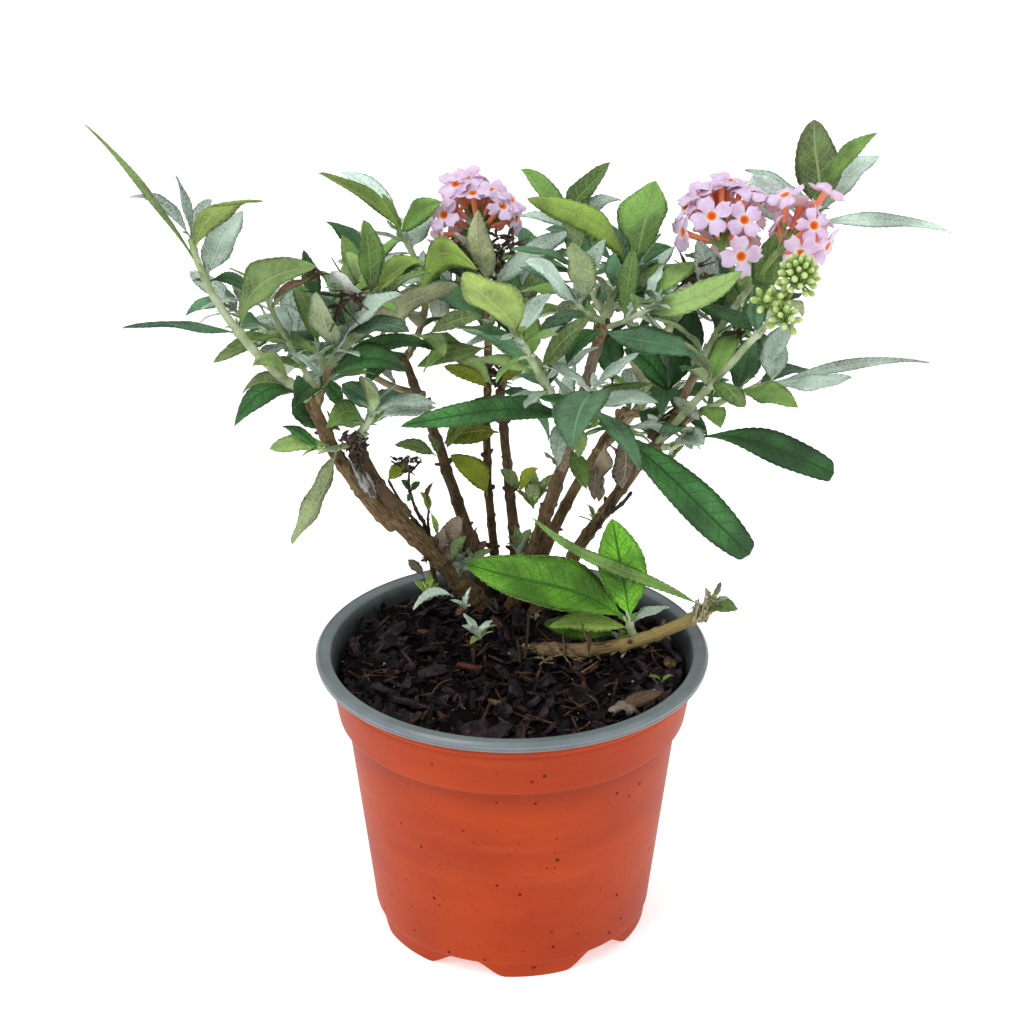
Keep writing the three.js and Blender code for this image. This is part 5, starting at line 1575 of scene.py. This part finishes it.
def buildWithered():
    rnd = random.Random(59)
    paths = []
    for (x, y, z), wide, high, count, longest in witheredFlorets:
        for _ in range(count):
            start = Vector((x + rnd.uniform(-0.5, 0.5) * wide, y + rnd.uniform(-0.4, 0.4) * wide,
                            z + rnd.uniform(-0.5, 0.5) * high))
            heading = rnd.uniform(0, 360)
            way = direction(heading, rnd.uniform(-50, 60))
            hook = direction(heading + rnd.uniform(-110, 110), rnd.uniform(-60, 40))
            long = rnd.uniform(0.4, 1) * longest
            paths.append([(start + way * (long * t) + hook * (long * 0.7 * t * t),
                           0.55 * (1 - 0.72 * t) + (0.2 if 0.3 < t < 0.6 else 0))
                          for t in [q / 7 for q in range(8)]])
    for foot, tip, thick in driedTwigs:
        curve = Bow(foot, tip, [rnd.uniform(-1, 1) for _ in range(3)])
        paths.append([(curve.at(q / 14), thick * (1 - 0.4 * q / 14) * (1.35 if q % 5 == 3 else 1))
                      for q in range(15)])
    finish = barkFinish("witheredBrown", (26, 21, 17), (54, 43, 34), (92, 76, 60))
    mesh = grownLimb("witheredFlorets", paths, finish, 6, 0.08, around=700, along=200)
    addPiece("witheredFlorets", mesh, "foliage")


def buildFlakes():
    rnd = random.Random(83)
    looks = {
        "crumbled": barkFinish("crumbledWood", (34, 27, 23), (66, 54, 46), (112, 100, 90)),
        "brownish": barkFinish("brownPeel", (52, 38, 27), (96, 74, 54), (138, 112, 84)),
        "straw": barkFinish("strawPeel", (78, 60, 40), (126, 104, 74), (164, 144, 112)),
        "cream": barkFinish("creamPeel", (112, 96, 68), (172, 158, 122), (212, 204, 176)),
    }
    drafts = {look: Draft() for look in looks}
    for middle, spread, heading, rise, count, length, width, look in flakes:
        for _ in range(count):
            root = Vector([m + rnd.uniform(-0.5, 0.5) * s * 1.6 for m, s in zip(middle, spread)])
            way = direction(rnd.uniform(0, 360) if heading is None else heading + rnd.uniform(-40, 40),
                            rnd.uniform(-60, 60) if rise is None else rise + rnd.uniform(-28, 28))
            side, face = aroundAxis(way)
            long, wide = length * rnd.uniform(0.4, 1), width * rnd.uniform(0.4, 1)
            bend = rnd.uniform(-0.35, 0.35) * long
            rings = []
            for q in range(6):
                t = q / 5
                taper = 0.5 + 0.5 * math.sin(math.pi * min(0.95, 0.15 + t))
                half = wide / 2 * taper * rnd.uniform(0.75, 1.2)
                spot = root + way * (long * (t - 0.3)) + face * (bend * t * t)
                rings.append([spot + side * half - face * 0.16, spot + side * half + face * 0.16,
                              spot - side * half + face * 0.2, spot - side * half - face * 0.16])
            drafts[look].skin(rings)
    for look, draft in drafts.items():
        mesh = draft.mesh(look + "Flakes", [looks[look]])
        mesh.attributes.new("barkPlace", "FLOAT_VECTOR", "POINT")
        mesh.attributes["barkPlace"].data.foreach_set("vector", [v * mm for p in draft.points for v in p])
        addPiece(look + "Flakes", mesh, "bark")


def shootFinish(name, base, ring, light):
    f = Finish(name)
    place = f.barkPlace()
    fuzz = f.grain((2600, 2600, 700), 3.0, place)
    cloud = f.grain(160, 3.0)
    colour = f.blend(cloud.step(0.35, 0.7), base, light)
    colour = f.blend(fuzz.step(0.55, 0.75) * 0.5, colour, ring)
    return f.done(colour, 0.8 + fuzz * 0.15, fuzz * 0.5, 0.5, specular=0.3)


def buildFoliage():
    grown = [(name, k + 1, growMass(name)) for k, name in enumerate(masses)]
    for name, number, shoots in grown:
        leafMass(name, number, shoots)
    print("posed leaves", sum(shape.leafy for shape in placed))
    for name, number, shoots in grown:
        fillMass(name, number, shoots)
    growStrays()
    print("all leaves", sum(shape.leafy for shape in placed))
    for kind, draft in leafDrafts.items():
        mesh = draft.mesh(kind + "Leaves", leafFinishes(kind))
        print(kind, len(draft.faces) * 2)
        addPiece(kind + "Leaves", mesh, "foliage", *sorted(leafOwners.get(kind, ())))
    shootBark = barkFinish("shootBark", (84, 70, 52), (124, 106, 80), (158, 142, 112))
    felt = shootFinish("feltedGreen", (146, 164, 116), (128, 128, 88), (196, 206, 174))
    sides, relief = shootRule["sides"], shootRule["relief"]
    for name, paths, finish, along in (("woodyShoots", woodyPaths, shootBark, 160),
                                       ("greenShoots", greenPaths, felt, 200)):
        mesh = grownLimb(name, paths, finish, sides, relief, around=700, along=along)
        addPiece(name, mesh, "foliage", *masses)


buildFoliage()
buildWithered()
buildFlakes()
print("foliage ready")


# Blossom: each head has a heart, from which florets stand out on slim stalks. A floret row gives its
# face's middle from the heart (right, up, out in the front view) and the way it faces.
tilt = math.radians(view["pitch"])
frontFrame = Matrix(((1, 0, 0), (0, math.sin(tilt), -math.cos(tilt)), (0, math.cos(tilt), math.sin(tilt))))
heads = {
    "right": {"heart": (65.3, 10, 233.3), "stalkFrom": (72, 13, 221), "florets": [
        ((-3.7, 10, 5), (-0.15, 0.2, 1)), ((6.5, 8.7, 5.5), (0.15, 0.1, 1)),
        ((5.3, -2.8, 7), (0.1, -0.25, 1)), ((-0.2, 20.8, -1), (-0.1, 0.9, 0.4)),
        ((2.5, 22.6, -4), (0.1, 0.9, 0.4)), ((-4.6, 20.6, -2), (-0.35, 0.9, 0.3)),
        ((6.5, 20.6, -3), (0.15, 0.9, 0.45)), ((9.1, 19, 0), (0.35, 0.8, 0.6)),
        ((13, 17, -5), (0.6, 0.8, 0)), ((-8.5, 17.2, 0), (-0.5, 0.8, 0.5)),
        ((-11.3, 13.8, -1), (-0.85, 0.45, 0.4)), ((-12.6, 5.2, 2), (-0.95, -0.05, 0.35)),
        ((11, 12, -6), (0.7, 0.6, -0.2)), ((-4, 12, -9), (-0.4, 0.5, -1)), ((5, 11, -9), (0.4, 0.4, -1)),
        ((0, 5, -10), (0, -0.1, -1)), ((9, 4, -8), (0.8, 0, -0.7)), ((-1, 19, -8), (-0.1, 0.9, -0.6)),
    ]},
    "farRight": {"heart": (82.4, 10.3, 232.6), "stalkFrom": (76, 14, 221), "florets": [
        ((2.2, 17.7, 2), (-0.4, 0.8, 0.5)), ((15.5, 19, 0), (0.4, 0.85, 0.35)),
        ((10.9, 7.5, 6), (0.2, 0, 1)), ((6.8, -1.2, 5), (-0.1, -0.2, 0.9)),
        ((15.9, 1.6, 1), (0.8, -0.5, 0.4)), ((0.6, 9.6, -3), (-0.8, 0.5, 0.1)),
        ((8, 15, -5), (0.1, 1, -0.2)), ((14, 12, -4), (0.8, 0.5, 0)), ((8, 9, -9), (0.1, 0.4, -1)),
        ((13, 5, -7), (0.7, 0, -0.8)), ((3, 3, -8), (-0.4, 0, -1)),
    ]},
    "centre": {"heart": (-11.3, 58, 223), "stalkFrom": (-12, 58, 214), "florets": [
        ((-11.3, 6.2, 4), (-0.4, 0.1, 0.9)), ((-12.8, -0.6, 2), (-0.9, -0.4, 0.3)),
        ((-11.8, -5.4, 2), (-0.6, -0.8, 0.3)), ((-7.4, 17, 1), (-0.35, 0.6, 0.75)),
        ((-4.2, 19.4, -2), (-0.1, 0.8, 0.6)), ((-1.6, 13.6, 4), (-0.1, 0.75, 0.65)),
        ((5.2, 14.8, 2), (0.3, 0.75, 0.55)), ((8.3, 9.2, 5), (0.4, 0.4, 0.85)),
        ((11.2, 12, 0), (0.7, 0.6, 0.5)), ((13, 5.2, 1), (0.9, -0.1, 0.35)),
        ((-9.8, 11.6, 1), (-0.75, 0.5, 0.5)), ((0.6, 18, -6), (0, 1, -0.3)),
        ((-6, 14, -8), (-0.4, 0.5, -1)), ((4, 14, -9), (0.3, 0.5, -1)), ((9, 8, -8), (0.7, 0.2, -0.9)),
        ((-9, 6, -8), (-0.7, 0.1, -0.9)), ((0, 7, -11), (0, 0, -1)), ((-2, 16, -7), (-0.1, 1, -0.6)),
    ]},
}
floretShape = {
    "waist": 2.3, "reach": 6.6, "frill": 0.36, "notch": 0.8, "lobe": 0.55, "lobes": (4, 4, 5),
    "cup": (-0.9, 0.5), "size": (0.9, 1.08), "tube": 10, "tubeRadius": 0.95, "lean": 0.72, "sides": 40,
}
headOwners = ("flower_heads_right", "flower_spike_centre")


def drawFloret(draft, stalks, middle, facing, heart, rnd):
    shape = floretShape
    over, side = aroundAxis(facing)
    spin = rnd.uniform(0, 6.28)
    lobes = rnd.choice(shape["lobes"])
    cup = rnd.uniform(*shape["cup"])
    size = rnd.uniform(*shape["size"])
    ripple = rnd.uniform(0, 6.28)
    outward = (middle - heart).normalized()
    way = lerp(facing, outward, shape["lean"]).normalized()  # the tube leans from the face towards the heart
    if way.dot(facing) < 0.35:
        way = lerp(facing, outward, 0.3).normalized()
    across = (side - way * side.dot(way)).normalized()
    upright = (over - way * over.dot(way) - across * over.dot(across)).normalized()
    long = min(shape["tube"], 0.85 * (middle - heart).length)
    angles = [2 * math.pi * k / shape["sides"] for k in range(shape["sides"])]

    def neck(radius, down, mark):
        spot = middle - way * down
        points = [spot + across * (radius * math.cos(a + spin)) + upright * (radius * math.sin(a + spin))
                  for a in angles]
        return points, [(mark, 0.5)] * shape["sides"]

    def ring(reach, height, lobed, mark):
        points, marks = [], []
        for a in angles:
            r, z = reach, height
            if lobed:
                star = abs(math.cos(lobes * a / 2)) ** shape["lobe"]
                edge = shape["waist"] + (shape["reach"] - shape["waist"]) * star
                edge += shape["frill"] * (math.sin(17 * a + ripple) + 0.7 * math.sin(11 * a - ripple)) * star
                edge -= shape["notch"] * math.exp(-((abs(math.sin(lobes * a / 2)) / 0.2) ** 2))
                r = lerp(2.0, edge, reach) * size
                z += (0.9 * math.sin(2 * a + ripple) + cup * reach) * reach * 1.2
                z += 0.5 * reach * math.cos(lobes * a)
            spot = middle + side * (r * math.cos(a + spin)) + over * (r * math.sin(a + spin))
            points.append(spot + facing * z)
            marks.append((mark, 0.5))
        return points, marks

    tube = shape["tubeRadius"]
    rows = [
        neck(tube * 0.55, long, 0.0), neck(tube * 0.85, long * 0.8, 0.1), neck(tube, long * 0.4, 0.2),
        neck(tube * 1.15, 1.6, 0.3), ring(tube * 1.5, -0.6, False, 0.36), ring(0.0, -0.32, True, 0.45),
        ring(0.45, -0.3, True, 0.6), ring(0.85, -0.25, True, 0.75), ring(1.0, -0.08, True, 0.8),
        ring(0.97, 0.1, True, 0.9), ring(0.7, 0.08, True, 1.0), ring(0.35, 0.0, True, 1.15),
        ring(0.0, -0.05, True, 1.3), ring(tube * 1.25, -0.25, False, 1.45),
        ring(tube * 0.8, -0.8, False, 1.6),
    ]
    draft.skin([row[0] for row in rows], 0, [row[1] for row in rows])
    base = middle - way * long
    stalks.append([(heart, 0.45), (lerp(heart, base, 0.5) - facing * 0.3, 0.4), (base - way * 0.9, 0.42),
                   (base - way * 0.5, 0.75), (base + way * 0.3, 0.8), (base + way * 1.2, 0.72)])


petalTints = {
    "petal": ((222, 184, 220), (238, 214, 240)), "fleck": (206, 150, 204),
    "back": ((244, 214, 230), (244, 224, 242)), "tube": ((246, 120, 74), (252, 164, 132)),
    "eye": (246, 226, 216), "throat": (250, 134, 30), "deep": (224, 84, 6),
}


def petalFinish():
    f = Finish("petal")
    mark = f.mark("X")
    cloud = f.grain(260, 3.0)
    fleck = f.grain(1500, 2.0)
    petal = f.blend(cloud.step(0.3, 0.7), *petalTints["petal"])
    petal = f.blend(fleck.step(0.5, 0.75) * 0.3, petal, petalTints["fleck"])
    back = f.blend(cloud, *petalTints["back"])
    tube = f.blend(cloud, *petalTints["tube"])
    colour = f.blend(mark.step(0.3, 0.48), tube, back)
    colour = f.blend(mark.step(0.78, 0.86), colour, petal)
    colour = f.blend(mark.step(1.24, 1.36) * 0.6, colour, petalTints["eye"])
    colour = f.blend(mark.step(1.36, 1.42), colour, petalTints["throat"])
    colour = f.blend(mark.step(1.48, 1.6), colour, petalTints["deep"])
    return f.done(colour, 0.6, cloud * 0.4 + fleck * 0.3, 0.3,
                  specular=0.3, fixed={"Subsurface Weight": 0.25, "Subsurface Scale": 0.004})


budShape = {"crowding": 0.3, "turn": 137.5, "spread": 0.36, "lift": 0.35, "radius": (0.95, 1.3),
            "length": (2.6, 3.6)}
budClusters = [  # middle, width, height
    ((86.2, -15.6, 232.4), 11, 15), ((82, -20.3, 221.4), 7.5, 8.5), ((76, -18.4, 225.6), 5.5, 5.5),
    ((80.2, -18.4, 227.4), 4.5, 5),
]


def eggRings(middle, way, radius, length, steps, sides):
    side, over = aroundAxis(way)
    rings = [[middle - way * 0.2]]
    for k in range(1, steps):
        t = k / steps
        r = radius * math.sin(math.pi * t) ** 0.7 * (1 - 0.15 * t)
        rings.append(circle(middle + way * (t * length), over, side, r, sides))
    rings.append([middle + way * length])
    return rings


def budFinish():
    values = {"green": ((150, 182, 92), (178, 204, 120)), "tip": (214, 218, 158)}
    f = Finish("budGreen")
    mark = f.mark("X")
    cloud = f.grain(300, 3.0)
    colour = f.blend(cloud.step(0.35, 0.7), *values["green"])
    colour = f.blend((mark + cloud * 0.2).step(0.75, 1.0), colour, values["tip"])
    return f.done(colour, 0.6, cloud * 0.4, 0.3)


def buildBuds(stalks):
    rnd = random.Random(77)
    draft = Draft()
    golden = math.radians(budShape["turn"])
    spread = budShape["spread"]
    for (x, y, z), wide, high in budClusters:
        middle = Vector((x, y, z))
        count = int(wide * high * budShape["crowding"])
        for k in range(count):
            up = 1 - 1.86 * (k + 0.5) / count
            flat = math.sqrt(1 - up * up)
            way = Vector((flat * math.cos(k * golden), flat * math.sin(k * golden), up))
            way = (way + Vector((0, 0, budShape["lift"]))).normalized()
            base = middle + Vector((way.x * wide * spread, way.y * wide * spread, way.z * high * spread))
            radius, length = rnd.uniform(*budShape["radius"]), rnd.uniform(*budShape["length"])
            rings = eggRings(base, way, radius, length, 6, 8)
            draft.skin(rings, 0, [[(r / 6, 0.5)] * len(ring) for r, ring in enumerate(rings)])
            stalks.append([(middle - Vector((0, 0, high * 0.2)), 0.45), (lerp(middle, base, 0.7), 0.36),
                           (base + way * 0.3, 0.5)])
    stem = Bow((81, -16.5, 224.5), (87, -15.5, 237), (0.4, 0, 0))
    stalks.append([(stem.at(k / 8), 0.8 - 0.04 * k) for k in range(9)])
    for way, radii in (
        (((82.5, -17, 221), (82.2, -20, 222), (82, -21, 226)), (0.7, 0.6, 0.4)),
        (((81, -17, 223), (78, -18.4, 225), (76, -18.4, 227)), (0.7, 0.55, 0.4)),
    ):
        stalks.append([(Vector(spot), radius) for spot, radius in zip(way, radii)])
    addPiece("buds", draft.mesh("buds", [budFinish()]), "foliage", "foliage_bud_shoot")


def buildBlossom():
    rnd = random.Random(41)
    draft = Draft()
    stalks = []
    for head in heads.values():
        heart = Vector(head["heart"])
        for offset, facing in head["florets"]:
            middle = heart + frontFrame @ Vector(offset)
            drawFloret(draft, stalks, middle, (frontFrame @ Vector(facing)).normalized(), heart, rnd)
        foot = Vector(head["stalkFrom"])
        stalks.append([(lerp(foot, heart, k / 5), 1.0 + 0.05 * k) for k in range(6)]
                      + [(heart + Vector((0, 0, 0.8)), 0.5)])
    addPiece("florets", draft.mesh("florets", [petalFinish()]), "blossom", *headOwners)
    buildBuds(stalks)
    finish = shootFinish("stalkGreen", (112, 142, 74), (98, 110, 60), (150, 172, 104))
    mesh = grownLimb("flowerStalks", stalks, finish, 7, 0.02, around=700, along=200)
    addPiece("flowerStalks", mesh, "blossom", *headOwners)


buildBlossom()
print("blossom ready")
